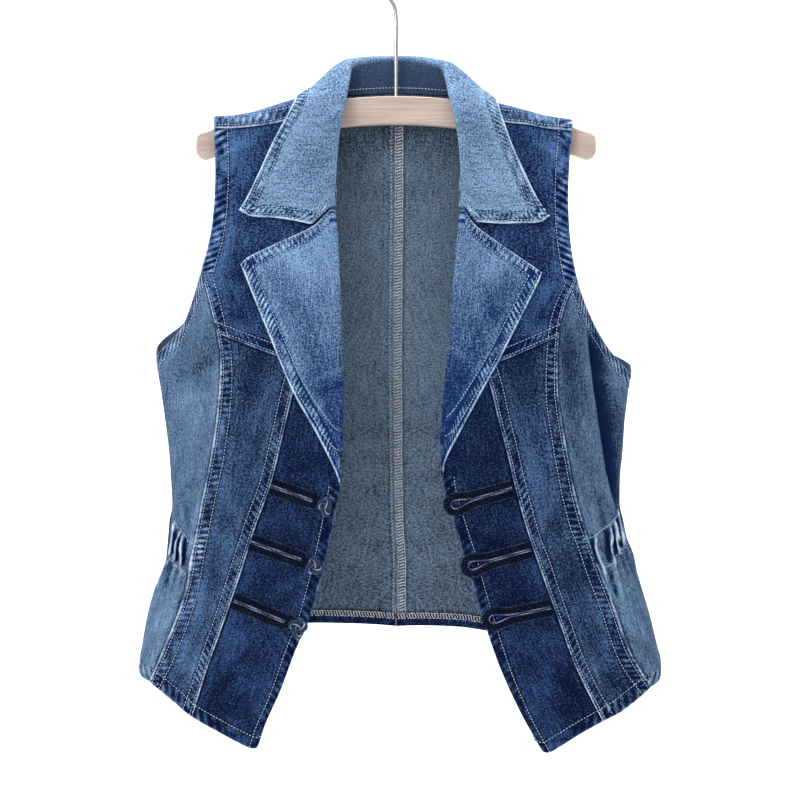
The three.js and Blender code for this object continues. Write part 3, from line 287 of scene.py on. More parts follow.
# The body's shell. A place is (turn, drop): the section's angle, -90 to 90 degrees from side seam
# to side seam, and the way down from the ridge, negative in front and positive behind.
def fallOf(drop):
    radius = layout["ridgeRadius"]
    return np.where(drop < quarterRidge, radius * (1 - np.cos(np.minimum(drop, quarterRidge) / radius)),
                    radius + drop - quarterRidge)


def dropOf(fall):
    radius = layout["ridgeRadius"]
    rounded = radius * np.arccos(np.clip(1 - np.maximum(fall, 0) / radius, -1, 1))
    return np.where(fall < radius, rounded, quarterRidge + fall - radius)


def girthAt(column, z):
    return hermiteRead(girth["z"], girth[column], z)


def sidesAt(z):
    return girthAt("left", z), girthAt("right", z)


def depthAt(isFront, z):
    return np.where(isFront, girthAt("front", z), girthAt("back", z))


def ridgeAt(x):
    return hermiteRead(ridge["x"], ridge["z"], x)


def placeOf(points, face):
    points = np.asarray(points, float)
    x, z = points[..., 0], points[..., 1]
    left, right = sidesAt(z)
    across = np.clip((2 * x - left - right) / (right - left), -1, 1)
    power = layout["power"]
    turn = np.arctan2(across, (1 - np.abs(across) ** power) ** (1 / power))
    return np.stack([turn, face * dropOf(ridgeAt(x) - z)], -1)


def sideLine(lines, face):
    side, topLevel, hemLevel = lines["side"], lines["armhole"][-1][1], lines["hem"][0][1]

    def line(fraction):
        z = topLevel + (hemLevel - topLevel) * np.asarray(fraction, float)
        left, right = sidesAt(z)
        drop = dropOf(ridgeAt(left if side < 0 else right) - z)
        return np.stack([np.full_like(z, side * math.pi / 2), face * drop], -1)

    line.total = topLevel - hemLevel
    return line


# what the rows of a table of creases, or of fades and painted shadows, add at the points of each face
def creaseLift(creases, isBack, x, z):
    total = np.zeros_like(x)
    for face, rows in creases.items():
        for row in rows:
            lean = math.radians(row.get("angle", 0))
            along = (z - row["z"]) * math.cos(lean) + (x - row["x"]) * math.sin(lean)
            across = (x - row["x"]) * math.cos(lean) - (z - row["z"]) * math.sin(lean)
            bump = row["depth"] * np.exp(-(along / row["length"]) ** 2 - (across / row["width"]) ** 2)
            total += np.where(isBack == (face == "back"), bump, 0)
    return total


def gatherLift(isBack, x, y, z):
    left, right = sidesAt(z)
    toSide = (right - left) / 2 - np.abs(x - (right + left) / 2) + np.abs(y)
    reach = np.where(isBack, gathers["back"], gathers["front"])
    down = (z - gathers["level"] + gathers["slope"] * np.where(isBack, 0, toSide)) / gathers["halfHeight"]
    fade = np.exp(-down ** 4) * np.exp(-(toSide / reach) ** 6)
    signed = np.where(isBack, -toSide, toSide)
    return gathers["depth"] * fade * np.cos(2 * math.pi * signed / gathers["pitch"])


def plainShell(turn, drop):
    fall = fallOf(np.abs(drop))
    power = layout["power"]
    squaring = (np.abs(np.sin(turn)) ** power + np.abs(np.cos(turn)) ** power) ** (1 / power)
    reach = np.sin(turn) / squaring
    x = reach * girth["right"][0]
    for _ in range(6):
        z = ridgeAt(x) - fall
        left, right = sidesAt(z)
        x = (left + right) / 2 + (right - left) / 2 * reach
    rounding = np.where(np.abs(drop) < quarterRidge, np.sin(np.abs(drop) / layout["ridgeRadius"]), 1)
    y = np.sign(drop) * depthAt(drop < 0, z) * rounding * np.cos(turn) / squaring
    return np.stack([x, y, z], -1)


def normalOf(surface, turn, drop):
    across = surface(turn + 0.004, drop) - surface(turn - 0.004, drop)
    down = surface(turn, drop + 0.4) - surface(turn, drop - 0.4)
    normal = np.cross(across, down)
    return normal / np.maximum(np.linalg.norm(normal, axis=-1, keepdims=True), 1e-9)


def shell(turn, drop):
    point = plainShell(turn, drop)
    x, y, z = point[..., 0], point[..., 1], point[..., 2]
    isBack = drop >= 0
    lift = creaseLift(largeCreases, isBack, x, z) * np.minimum(np.abs(drop) / quarterRidge, 1)
    lift += gatherLift(isBack, x, y, z)
    return point + normalOf(plainShell, turn, drop) * lift[..., None]


def shellAt(places):
    turn, drop = places[..., 0], places[..., 1]
    return shell(turn, drop), normalOf(shell, turn, drop)


def offShell(places, out):
    base, normal = shellAt(places)
    return base + normal * np.asarray(out)[..., None]


def truePoint(points):
    eye = np.array(layout["eye"], float)
    spread = (points[..., 1:2] - eye[1]) / (layout["plane"] - eye[1])
    real = eye + (points - eye) * spread
    real[..., 1] = points[..., 1]
    return real * mm


# a panel's places between its four edge lines
def patch(top, bottom, left, right):
    corners = [top(0.0), top(1.0), bottom(0.0), bottom(1.0)]

    def place(s, t):
        across, down = np.asarray(s, float)[..., None], np.asarray(t, float)[..., None]
        return ((1 - down) * top(s) + down * bottom(s) + (1 - across) * left(t) + across * right(t)
                - (1 - across) * (1 - down) * corners[0] - across * (1 - down) * corners[1]
                - (1 - across) * down * corners[2] - across * down * corners[3])

    return place


# a line of layout points, or part of it, as places on the front
def front(line, start=0, end=1):
    part = partLine(line, start, end)
    return lambda fraction: placeOf(part(fraction), -1)


def wobble(along, seed):
    return (1.3 * np.sin(along / 23 + seed) + 0.9 * np.sin(along / 11.3 + 2.1 * seed)
            + 0.5 * np.sin(along / 5.9 + seed))


# How an edge is sewn. raise and pucker are relief in millimetres, rows are stitch rows from the edge and
# rim is how wide the worn fold is; edge, blotch, line and halo are how pale or dark the fold, the puckers,
# the rows and the cloth beside the band look: a negative edge is a painted shadow along the lap of a seam's
# under side, and line is painted shade along each stitch row; free edges are rounded
bands = named(
    "width raise pucker pitch rows edge rim blotch line halo tone free",
    ("over", 14, 0.9, 0.45, 6.3, (3.2, 12.0), 0.62, 1.7, 0.46, 0.42, 0.16, -0.04, False),
    ("under", 1.6, -0.5, 0.1, 7, (), -0.34, 1.9, 0, 0, 0.08, 0, False),
    ("arm", 14.5, 0.55, 0.7, 7.5, (13.2,), 0.3, 1.7, 0.6, 0.36, 0.18, 0.03, True),
    ("hem", 14, 0.7, 0.45, 8.5, (12,), 0.34, 1.7, 0.44, 0.34, 0.14, 0.02, True),
    ("edge", 13.5, 0.4, 0.42, 8, (12.3,), 0.42, 1.8, 0.5, 0.34, 0.16, -0.03, True),
    ("fall", 13, 0.5, 0.36, 5.6, (3.4, 11.4), 0.8, 2.1, 0.68, 0.62, 0.16, -0.06, True),
    ("pressed", 14, 0.5, 0.3, 6.3, (3.2, 12.0), 0.4, 1.7, 0.24, 0.2, 0, 0, False),
)
groove = 0.45  # how deep a stitch row lies


def bandLift(kind, distance, along, seed):
    band = bands[kind]
    inside = 1 - smoothStep(band["width"] - 1.2, band["width"] + 1.8, distance)
    middle = np.clip(1.25 - (2 * distance / band["width"] - 1) ** 2, 0, 1)
    wave = np.sin(2 * math.pi * (along + 0.5 * distance) / band["pitch"] + wobble(along, seed))
    strength = 0.55 + 0.45 * np.sin(along / 17 + 3 * seed) * np.sin(along / 41 + seed)
    patches = (0.5 * np.sin(along / 9.7 + 0.31 * distance + seed)
               + 0.5 * np.sin(along / 3.9 - 0.4 * distance + 2 * seed))
    blotches = np.tanh(1.7 * wave) * strength + 0.45 * patches
    lift = inside * (band["raise"] + band["pucker"] * wave * strength * middle)
    wear = inside * (band["tone"] + band["blotch"] * blotches * middle)
    # each stitch row lies in a groove with a line of painted shade along it
    for row in band["rows"]:
        lift = lift - groove * bell(distance - row, 0.8)
        wear = wear - band["line"] * bell(distance - row, 1.0)
    # the fold's rim: worn pale, and on an under edge a painted shadow along the lap
    wear = wear + band["edge"] * np.exp(-(distance / band["rim"]) ** 4) * (0.85 + 0.25 * patches)
    beyond = bell(distance - band["width"] - 3.5, 3)
    wear = wear + band["halo"] * beyond * (0.5 + 0.6 * wave)
    lift = lift + 1.2 * band["halo"] * beyond * wave * strength
    if band["free"]:
        lift = lift - (band["raise"] + groove) * np.clip(1 - distance / 1.3, 0, 1) ** 2
    return lift, wear


def stronger(first, second):
    return np.where(np.abs(second) > np.abs(first), second, first)


# what the sewn edges of a panel do at (s, t): edges is a list of (side, kind) or (side, kind, from, to)
def sewnEdges(edges, sizes, s, t, seed):
    width, height = sizes
    lift = np.zeros_like(s)
    wear = np.zeros_like(s)
    for k, (side, kind, *span) in enumerate(edges):
        if side in ("left", "right"):
            fraction = t
            distance = (s if side == "left" else 1 - s) * width(t)
            along = t * height(s)
        else:
            fraction = s
            distance = (t if side == "top" else 1 - t) * height(s)
            along = s * width(t)
        start, end = span or (0, 1)
        shown = window(start - 0.012, start + 0.004, end - 0.004, end + 0.012, fraction)
        bandUp, bandWearAndShade = bandLift(kind, distance, along, seed + k)
        lift = stronger(lift, bandUp * shown)
        wear = stronger(wear, bandWearAndShade * shown)
    return lift, wear


# a grid primitive, with the row and column of each of its vertices
def gridPiece(name, rows, columns):
    clearSelection()
    bpy.ops.mesh.primitive_grid_add(x_subdivisions=columns - 1, y_subdivisions=rows - 1, size=2)
    piece = bpy.context.object
    piece.name = name
    piece.data.name = name
    flat = np.empty(len(piece.data.vertices) * 3)
    piece.data.vertices.foreach_get("co", flat)
    x, y = flat.reshape(-1, 3)[:, :2].T
    return (piece, np.rint((1 - y) / 2 * (rows - 1)).astype(int),
            np.rint((x + 1) / 2 * (columns - 1)).astype(int))


# the cloth's own coordinates in metres, from millimetres across and down at each vertex
def giveUv(mesh, across, down):
    loops = np.empty(len(mesh.loops), dtype=int)
    mesh.loops.foreach_get("vertex_index", loops)
    mesh.uv_layers[0].name = "cloth"
    mesh.uv_layers[0].data.foreach_set("uv", (np.stack([across, down], -1) * mm)[loops].ravel())


def giveNumbers(mesh, name, values):
    layer = mesh.attributes.new(name, "FLOAT", "POINT")
    layer.data.foreach_set("value", values.astype(np.float32))


def fasten(piece, slotName, *nodes):
    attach(piece, "root")
    if nodes:
        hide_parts(*nodes)


# a cloth piece: a grid shaped to rows of outer points and thickened inwards
def clothPiece(name, points, outward, across, down, wear, thick, outside, inside):
    piece, i, j = gridPiece("sewn_" + name, *points.shape[:2])
    mesh = piece.data
    mesh.vertices.foreach_set("co", truePoint(points)[i, j].ravel())
    giveUv(mesh, across[i, j], down[i, j])
    # worn places together with painted shade, which the denim mixes into its colour
    giveNumbers(mesh, "wear", wear[i, j])
    mesh.update()
    middle = mesh.polygons[len(mesh.polygons) // 2]
    corner = middle.vertices[0]
    if middle.normal.dot(Vector(outward[i[corner], j[corner]])) < 0:
        mesh.flip_normals()
    mesh.materials.append(outside)
    mesh.materials.append(inside)
    thicken = piece.modifiers.new("thickness", "SOLIDIFY")
    thicken.thickness = thick * mm
    thicken.offset = -1
    thicken.use_even_offset = False
    thicken.material_offset = 1
    thicken.material_offset_rim = 0
    bpy.ops.object.modifier_apply(modifier="thickness")
    bpy.ops.object.shade_smooth_by_angle(angle=math.radians(cloth["smoothAngle"]))
    print(name, len(mesh.polygons), "faces")
    return piece, i, j


# spans is the size of the flat cut, in millimetres
def finishSheet(piece, slotName, node, restsOn, spans):
    fasten(piece, slotName, node)
    flat = (float(spans[0]) * mm, float(spans[1]) * mm)
    area = sum(polygon.area for polygon in piece.data.polygons) / 2
    area = min(max(area, 0.31 * flat[0] * flat[1]), flat[0] * flat[1])


# one thread stitch, modelled once and copied along every row
thread = {"length": 2.4, "thick": 0.88, "pitch": 3.3, "lean": 0, "proud": 0.12}
clearSelection()
bpy.ops.mesh.primitive_uv_sphere_add(segments=6, ring_count=4, radius=0.5)
threadMesh = bpy.context.object.data
threadShape = np.array([vertex.co[:] for vertex in threadMesh.vertices])
threadFaces = [list(polygon.vertices) for polygon in threadMesh.polygons]
bpy.ops.object.delete()
stitchRows = {"pale": [], "serge": []}


# evenly spaced stitches along a route of layout points with its outward normals,
# each as (centre, along, out, length, thick) in true metres
def rowFrames(route, normals, **changes):
    row = {**thread, **changes}
    route = truePoint(route)
    steps = np.linalg.norm(np.diff(route, axis=0), axis=1)
    lengths = runLength(route)
    count = int(lengths[-1] / (row["pitch"] * mm))
    frames = []
    for place in (np.arange(count) + 0.5) * lengths[-1] / max(count, 1):
        k = min(int(np.searchsorted(lengths, place)) - 1, len(steps) - 1)
        centre = route[k] + (route[k + 1] - route[k]) * ((place - lengths[k]) / steps[k])
        along = (route[k + 1] - route[k]) / steps[k]
        out = normals[k] - along * np.dot(normals[k], along)
        out = out / np.linalg.norm(out)
        if row["lean"]:
            along = along * math.cos(row["lean"]) + np.cross(along, out) * math.sin(row["lean"])
        frames.append((centre, along, out, row["length"] * mm, row["thick"] * mm))
    return frames


def sewRow(route, normals):
    stitchRows["pale"] += rowFrames(route + normals * thread["proud"], normals)


def stitchPiece(name, frames, material, slotName):
    vertices = []
    faces = []
    for centre, along, out, length, thick in frames:
        base = len(vertices) * len(threadShape)
        beside = np.cross(along, out)
        vertices.append(centre + threadShape[:, 2:3] * along * length + threadShape[:, 0:1] * beside * thick
                        + threadShape[:, 1:2] * out * thick)
        faces.extend([[base + corner for corner in face] for face in threadFaces])
    mesh = bpy.data.meshes.new(name)
    mesh.from_pydata(np.concatenate(vertices).tolist(), [], faces)
    piece = bpy.data.objects.new(name, mesh)
    bpy.context.collection.objects.link(piece)
    mesh.materials.append(material)
    clearSelection()
    piece.select_set(True)
    bpy.context.view_layer.objects.active = piece
    bpy.ops.object.shade_smooth()
    fasten(piece, slotName)


# Shader fields: sockets that can be added and multiplied
class Field:
    def __init__(self, tree, socket):
        self.tree = tree
        self.socket = socket

    def node(self, kind, settings=None, inputs=None, output=0):
        made = self.tree.nodes.new(kind)
        for key, value in (settings or {}).items():
            setattr(made, key, value)
        for key, value in (inputs or {}).items():
            if isinstance(value, Field):
                self.tree.links.new(value.socket, made.inputs[key])
            else:
                made.inputs[key].default_value = value
        return Field(self.tree, made.outputs[output])

    def __add__(self, other):
        return self.node("ShaderNodeMath", {"operation": "ADD"}, {0: self, 1: other})

    def __mul__(self, other):
        return self.node("ShaderNodeMath", {"operation": "MULTIPLY"}, {0: self, 1: other})

    __radd__ = __add__
    __rmul__ = __mul__

    def clamp(self):
        return self.node("ShaderNodeClamp", {}, {"Value": self})

    def spread(self, low, high, toLow=0.0, toHigh=1.0):
        return self.node("ShaderNodeMapRange", {}, {"Value": self, "From Min": low, "From Max": high,
                                                    "To Min": toLow, "To Max": toHigh})

    # self is the share of the second colour
    def colours(self, first, second):
        return self.node("ShaderNodeMix", {"data_type": "RGBA"}, {0: self, 6: first, 7: second}, 2)

    def stretched(self, x, y, z):
        return self.node("ShaderNodeVectorMath", {"operation": "MULTIPLY"}, {0: self, 1: (x, y, z)})

    def noise(self, scale, detail=2.0, roughness=0.5):
        return self.node("ShaderNodeTexNoise", {}, {"Vector": self, "Scale": scale, "Detail": detail,
                                                    "Roughness": roughness})

    # links this field to one of a shader's sockets
    def feed(self, shader, name):
        self.tree.links.new(self.socket, shader.inputs[name])

    def bump(self, shader, strength, distance):
        self.node("ShaderNodeBump", {}, {"Height": self, "Strength": strength,
                                         "Distance": distance}).feed(shader, "Normal")


# a new material with its plain numbers set, its shader and a field to start from
def newMaterial(name, numbers):
    material = bpy.data.materials.new(name)
    material.use_nodes = True
    shader = material.node_tree.nodes["Principled BSDF"]
    for socket, value in numbers.items():
        shader.inputs[socket].default_value = value
    return material, shader, Field(material.node_tree, None)


def srgb(*colour):
    return tuple(((value / 255 + 0.055) / 1.055) ** 2.4 if value > 10 else value / 255 / 12.92
                 for value in colour) + (1.0,)


# denim: a deep and a pale indigo, mixed by slubs and floats of the weave, patches of fading, worn places and
# painted shade, with a darker colour for painted shade below the collar's roll
denims = named(
    "deep pale base grain patch worn",
    ("centre", (4, 15, 48), (82, 122, 184), 0.07, 0.74, 0.28, 1),
    ("upper", (5, 20, 64), (108, 152, 212), 0.14, 0.84, 0.4, 1),
    ("middle", (6, 20, 56), (116, 156, 208), 0.1, 0.82, 0.34, 1),
    ("side", (14, 34, 74), (148, 184, 222), 0.28, 0.84, 0.3, 1),
    ("washed", (20, 48, 94), (170, 208, 244), 0.41, 0.96, 0.22, 1),
    ("lapel", (16, 44, 96), (164, 206, 250), 0.34, 0.94, 0.24, 1),
    ("back", (14, 32, 70), (120, 154, 198), 0.27, 0.78, 0.3, 1),
    ("inside", (22, 34, 50), (144, 168, 194), 0.41, 0.8, 0.2, 0.5),
    ("dark", (3, 8, 27), (120, 144, 192), -0.02, 0.18, 0.08, 1),
)


def denimMaterial(key):
    look = denims[key]
    material, shader, field = newMaterial("denim_" + key, {"Sheen Weight": 0.015, "Sheen Roughness": 0.5,
                                                           "Specular IOR Level": 0.06})
    uv = field.node("ShaderNodeUVMap", {"uv_map": "cloth"})
    wear = field.node("ShaderNodeAttribute", {"attribute_name": "wear"}, output=2)
    shade = field.node("ShaderNodeAttribute", {"attribute_name": "shade"}, output=2)
    slub = uv.stretched(1, 0.1, 1).noise(560, 3, 0.6)
    warp = uv.stretched(1, 0.5, 1).noise(880, 1, 0.5)
    weft = uv.stretched(0.42, 1, 1).noise(840, 1, 0.5)
    speckle = uv.noise(760, 1, 0.6)
    patchy = uv.noise(24, 4, 0.6)
    diagonal = uv.node("ShaderNodeMapping", {}, {"Vector": uv, "Rotation": (0, 0, math.radians(-62))})
    twill = uv.node("ShaderNodeTexWave", {"bands_direction": "X"},
                    {"Vector": diagonal, "Scale": 260, "Distortion": 0.6})
    grain = (warp.spread(0.36, 0.64, -1.0, 1.0) * 0.42 + weft.spread(0.36, 0.64, -1.0, 1.0) * 0.36
             + speckle.spread(0.36, 0.64, -1.0, 1.0) * 0.34 + slub.spread(0.36, 0.66, -1.0, 1.0) * 0.3)
    # worn places make the cloth paler, and the negative values of the same attribute are painted shade
    share = (grain * look["grain"] * 0.5 + patchy.spread(0.3, 0.7, -0.5, 0.5) * look["patch"]
             + twill.spread(0, 1, -0.05, 0.05) + wear * look["worn"] + look["base"]).clamp()
    colour = share.colours(srgb(*look["deep"]), srgb(*look["pale"]))
    # the most worn rims are nearly white
    bleached = wear.spread(0.36, 1.05, 0.0, 0.85).clamp() * look["worn"]
    colour = bleached.colours(colour, srgb(232, 240, 250))
    # painted shade: the shade attribute mixes in this darker colour
    under = (grain * 0.2 + 0.3).clamp().colours(srgb(16, 28, 56), srgb(78, 98, 136))
    (shade.clamp() * 0.9).colours(colour, under).feed(shader, "Base Color")
    share.spread(0, 1, 0.82, 0.93).feed(shader, "Roughness")
    (twill * 0.4 + warp * 0.3 + weft * 0.3 + speckle * 0.25).bump(shader, 0.6, 0.0004)
    return material


denim = {key: denimMaterial(key) for key in denims}


def threadMaterial(name, *tone):
    material, shader, field = newMaterial(name, {"Roughness": 0.7})
    place = field.node("ShaderNodeTexCoord", output=3)
    shaded = [value * 0.85 for value in tone]
    place.noise(160, 2).spread(0.35, 0.65).colours(srgb(*tone), srgb(*shaded)).feed(shader, "Base Color")
    place.noise(4200, 1).bump(shader, 0.4, 0.0001)
    return material


def woodMaterial():
    material, shader, field = newMaterial("pale_wood", {"Coat Weight": 0.15, "Coat Roughness": 0.3})
    place = field.node("ShaderNodeTexCoord", output=3)
    grain = place.stretched(0.04, 1, 1).noise(420, 4, 0.62)
    broad = place.stretched(0.12, 1, 1).noise(60, 3, 0.5)
    share = (grain.spread(0.35, 0.7) * 0.6 + broad.spread(0.35, 0.65) * 0.4).clamp()
    share.colours(srgb(226, 206, 194), srgb(186, 160, 146)).feed(shader, "Base Color")
    grain.spread(0.3, 0.7, 0.38, 0.52).feed(shader, "Roughness")
    grain.bump(shader, 0.3, 0.0002)
    return material


def metalMaterial():
    material, shader, field = newMaterial("satin_wire", {"Metallic": 1.0})
    drawn = field.node("ShaderNodeTexCoord", output=3).stretched(1, 1, 0.1).noise(900, 2)
    drawn.spread(0.3, 0.7).colours(srgb(214, 210, 206), srgb(190, 186, 184)).feed(shader, "Base Color")
    drawn.spread(0.3, 0.7, 0.24, 0.36).feed(shader, "Roughness")
    drawn.bump(shader, 0.15, 0.0001)
    return material


paleThread = threadMaterial("thread_pale", 206, 228, 255)
sergeThread = threadMaterial("thread_serge", 226, 228, 232)
wood = woodMaterial()
metal = metalMaterial()
print("materials ready")

# rows of a panel's grid from each end, in millimetres: closer together where edges are rounded and sewn
edgeRows = np.array([0, 0.4, 1.0, 1.7, 2.3, 3.0, 3.7, 4.6, 6.0, 7.5, 9.0, 10.2, 11.2, 12.0, 12.8, 13.6, 14.8])


def edgeSteps(total, spacing):
    ends = edgeRows[edgeRows < 0.38 * total]
    last = ends[-1]
    inner = max(int((total - 2 * last) / spacing), 2)
    middle = last + (total - 2 * last) * np.arange(1, inner) / inner
    return np.concatenate([ends, middle, total - ends[::-1]]) / total


# a panel's width at each t and height at each s, as built
sizeStops = np.linspace(0, 1, 25)


def sizesOf(place):
    places = place(*np.meshgrid(sizeStops, sizeStops))
    points = shell(places[..., 0], places[..., 1])
    widths = np.linalg.norm(np.diff(points, axis=1), axis=-1).sum(1)
    heights = np.linalg.norm(np.diff(points, axis=0), axis=-1).sum(0)
    return (lambda t: np.interp(t, sizeStops, widths)), (lambda s: np.interp(s, sizeStops, heights))


# slow, uneven waviness of worn cloth
def restless(x, z, seed):
    return (0.30 * np.sin(x / 19 + z / 61 + seed) * np.sin(z / 37 - x / 83 + 2 * seed)
            + 0.16 * np.sin(x / 7.5 - z / 23 + 3 * seed) * np.sin(z / 17 + seed))


# washed-out places and darker places of the fronts and the back, with a painted shadow under the hanger bar
# along the top of the back; depth is the share of the pale colour
fadesAndShadows = {
    "front": table(
        "x z width length depth",
        (-110, -600, 70, 200, 0.035), (110, -560, 60, 200, -0.03), (-203, -430, 34, 95, 0.22),
        (-236, -440, 10, 60, -0.12), (-228, -690, 28, 50, 0.22), (-166, -640, 16, 95, 0.16),
        (-140, -450, 16, 70, -0.1), (-196, -720, 30, 26, 0.1), (-120, -690, 22, 40, 0.03),
        (-122, -770, 12, 32, 0.16), (-158, -206, 22, 50, 0.12), (-150, -330, 24, 24, -0.08),
        (-180, -330, 14, 40, 0.08), (188, -480, 12, 60, 0.02), (174, -425, 14, 44, -0.25),
        (226, -650, 24, 70, 0.08), (140, -560, 14, 90, 0.16), (120, -430, 22, 50, -0.06),
        (-198, -412, 26, 34, -0.22), (-176, -480, 8, 60, 0.2), (-198, -615, 9, 50, 0.34),
        (-127, -498, 8, 36, 0.2), (-148, -398, 24, 9, -0.08), (134, -402, 22, 9, -0.2),
        (157, -488, 8, 50, 0.15), (160, -200, 18, 40, 0.05), (150, -290, 26, 34, -0.04),
        (150, -760, 14, 34, 0.14), (-140, -171, 50, 7, 0.24), (138, -172, 50, 7, 0.2)),
    "back": table(
        "x z width length depth",
        (-60, -400, 90, 120, 0.18), (60, -390, 90, 130, 0.16), (0, -640, 150, 50, -0.14),
        # a painted shadow under the hanger bar, along the top of the back
        (0, -186, 140, 26, -0.34), (0, -240, 140, 60, -0.06)),
}

# the deep fold down the right side panel: its edge, how the cloth sinks beyond it, and the painted shade
# there with a painted highlight along its crown
deepFold = {
    "line": [(190, -380), (195, -429), (200.6, -464), (205, -495), (209, -522), (213.5, -543),
        (218, -558.5)],
    # dark is how deep the painted shade beyond the edge goes
    "sink": 3, "width": 15, "dark": 0.68,
}


# how far to the right of a line of (x, z) points, given from the top down
def besideLine(line, x, z):
    line = np.array(line[::-1], float)
    return x - np.interp(z, line[:, 1], line[:, 0])


def deepFoldAt(isBack, x, y, z):
    beyond = besideLine(deepFold["line"], x, z)
    along = np.where(isBack, 0, window(-575, -545, -410, -370, z))
    shape = smoothStep(-0.6, 2.2, beyond) * bell(beyond, deepFold["width"]) * along * smoothStep(3, 13, -y)
    # a painted highlight along the crown, and painted shade beyond the edge
    crown = bell(beyond + 3, 3.2) * along
    return crown * 0.9 - deepFold["sink"] * shape, crown * 0.12 - deepFold["dark"] * shape


# pleats held by the waist elastic at the sides: ridges worn pale and painted shade in the troughs, as (x, z)
# lines
pleats = table(
    "width rise wear line",
    (0.85, 1.5, 1.3, [(-221.6, -576), (-224, -593), (-226.4, -609)]),
    (0.9, 1.8, 1.4, [(-216, -584.6), (-219.7, -595.5), (-222.2, -613.8)]),
    (0.9, 1.8, 1.4, [(-212.8, -588), (-215.2, -601.6), (-216, -621)]),
    (2.4, 0.8, 0.16, [(-203, -588), (-205, -622)]),
    (1.5, 0.9, 0.6, [(-226.4, -612.5), (-234, -621), (-239, -640)]),
    (1.7, 0.9, 0.5, [(-220.5, -616), (-226, -632)]),
    (1.7, 0.8, 0.26, [(-213, -619), (-217, -634)]),
    (1.9, -1.3, -1.0, [(-221.4, -583), (-223.6, -610)]),
    (1.9, -1.5, -1.1, [(-217.4, -588), (-219.2, -614)]),
    (2.2, -1.5, -0.9, [(-211, -590), (-212.8, -619)]),
    (2.4, 0.9, 0.14, [(-216, -554), (-211, -582)]),
    (2.4, -1, -0.16, [(-211, -556), (-206, -584)]),
    (2.4, -1, -0.36, [(-223, -616), (-231, -640)]),
    (1, 1.6, 1.15, [(199.6, -588.2), (199.6, -599.2), (202.7, -610), (207.5, -619.2), (210, -626)]),
    (0.9, 1.8, 1.4, [(214.2, -579.7), (216, -595.5), (217.3, -611.3), (219, -618.6)]),
    (0.9, 1.8, 1.5, [(217.9, -573.7), (220.3, -585.8), (222.7, -599.2), (224.5, -606.5)]),
    (0.85, 1.4, 1.3, [(221.5, -562.7), (223.3, -574.9), (225.8, -587), (228.2, -598)]),
    (1.6, -1.4, -0.85, [(196.8, -589), (197.3, -604), (201, -617)]),
    (3.2, 1.1, -0.08, [(204.5, -590), (208.5, -616)]),
    (2.5, -1.6, -1.0, [(210.8, -583), (213.4, -614)]),
    (1.9, -1.5, -1.1, [(216.9, -580), (220.2, -609)]),
    (1.7, -1.4, -1.1, [(220.9, -569), (224.9, -600)]),
    (2, 0.9, 0.45, [(207.5, -622), (215, -652)]),
    (2.3, 0.9, 0.26, [(219, -620), (227, -652)]),
    (2.6, -1, -0.36, [(213, -622), (221, -650)]),
    (2.2, 0.9, 0.16, [(195, -556), (203, -583)]),
    (2.4, -1, -0.2, [(203, -552), (209, -579)]),
)


def pleatLift(isBack, x, y, z):
    rise, worn = np.zeros_like(x), np.zeros_like(x)
    facing = np.where(isBack, 0, smoothStep(7, 15, -y))
    for row in pleats:
        top, bottom = row["line"][0][1], row["line"][-1][1]
        ends = window(bottom - 3, bottom + 4, top - 4, top + 3, z)
        shape = ends * bell(besideLine(row["line"], x, z), row["width"])
        rise += row["rise"] * shape
        # pale worn ridges, and painted shade along the troughs
        worn += row["wear"] * shape
    return rise * facing, worn * facing


# sews one panel and gives its outer surface, as points, normals and its worn places with painted shade at (s,
# t)
def sewPanel(name, place, slotName, outside, edges, restsOn, seed, spacing=(1.9, 1.9), rest=0, inside=None):
    sizes = sizesOf(place)
    width, height = sizes

    def surface(s, t):
        across, down = cloth["margin"] / width(t), cloth["margin"] / height(s)
        places = place(across + s * (1 - 2 * across), down + t * (1 - 2 * down))
        base, normal = shellAt(places)
        x, y, z = base[..., 0], base[..., 1], base[..., 2]
        isBack = places[..., 1] >= 0
        sewn, wear = sewnEdges(edges, sizes, s, t, seed)
        small = creaseLift(smallCreases, isBack, x, z)
        elastic = np.where(isBack, gatherLift(isBack, x, y, z) / gathers["depth"], 0)
        foldUp, foldLightAndShade = deepFoldAt(isBack, x, y, z)
        pleatUp, pleatWearAndShade = pleatLift(isBack, x, y, z)
        lift = (rest + cloth["wall"] / 2 + sewn + small + 1.3 * elastic + pleatUp + foldUp
                + restless(x, z, seed))
        # tone: crests of small creases and of the back's gathers worn paler, with painted shade in their
        # troughs; the deep fold and the pleats bring painted light and shade
        wear = (wear + small * 0.16 + 0.5 * np.maximum(elastic, 0) ** 4
                - 0.45 * np.maximum(-elastic, 0) ** 1.5 + pleatWearAndShade + foldLightAndShade
                + creaseLift(fadesAndShadows, isBack, x, z))
        return base + normal * lift[..., None], normal, wear

    s, t = np.meshgrid(edgeSteps(float(width(0.5)), spacing[0]), edgeSteps(float(height(0.5)), spacing[1]))
    points, normals, wear = surface(s, t)
    piece, _, _ = clothPiece(name, points, normals, (s - 0.5) * width(t), t * height(s), wear, cloth["wall"],
                             outside, inside or denim["inside"])
    finishSheet(piece, slotName, name, restsOn, (width(sizeStops).max(), height(sizeStops).max()))
    for side, kind, *span in edges:
        along = np.linspace(*(span or (0, 1)), 160)
        for row in bands[kind]["rows"]:
            if side in ("left", "right"):
                gap = row / width(along)
                route, normals, _ = surface(gap if side == "left" else 1 - gap, along)
            else:
                gap = row / height(along)
                route, normals, _ = surface(along, gap if side == "top" else 1 - gap)
            sewRow(route, normals)
    return surface


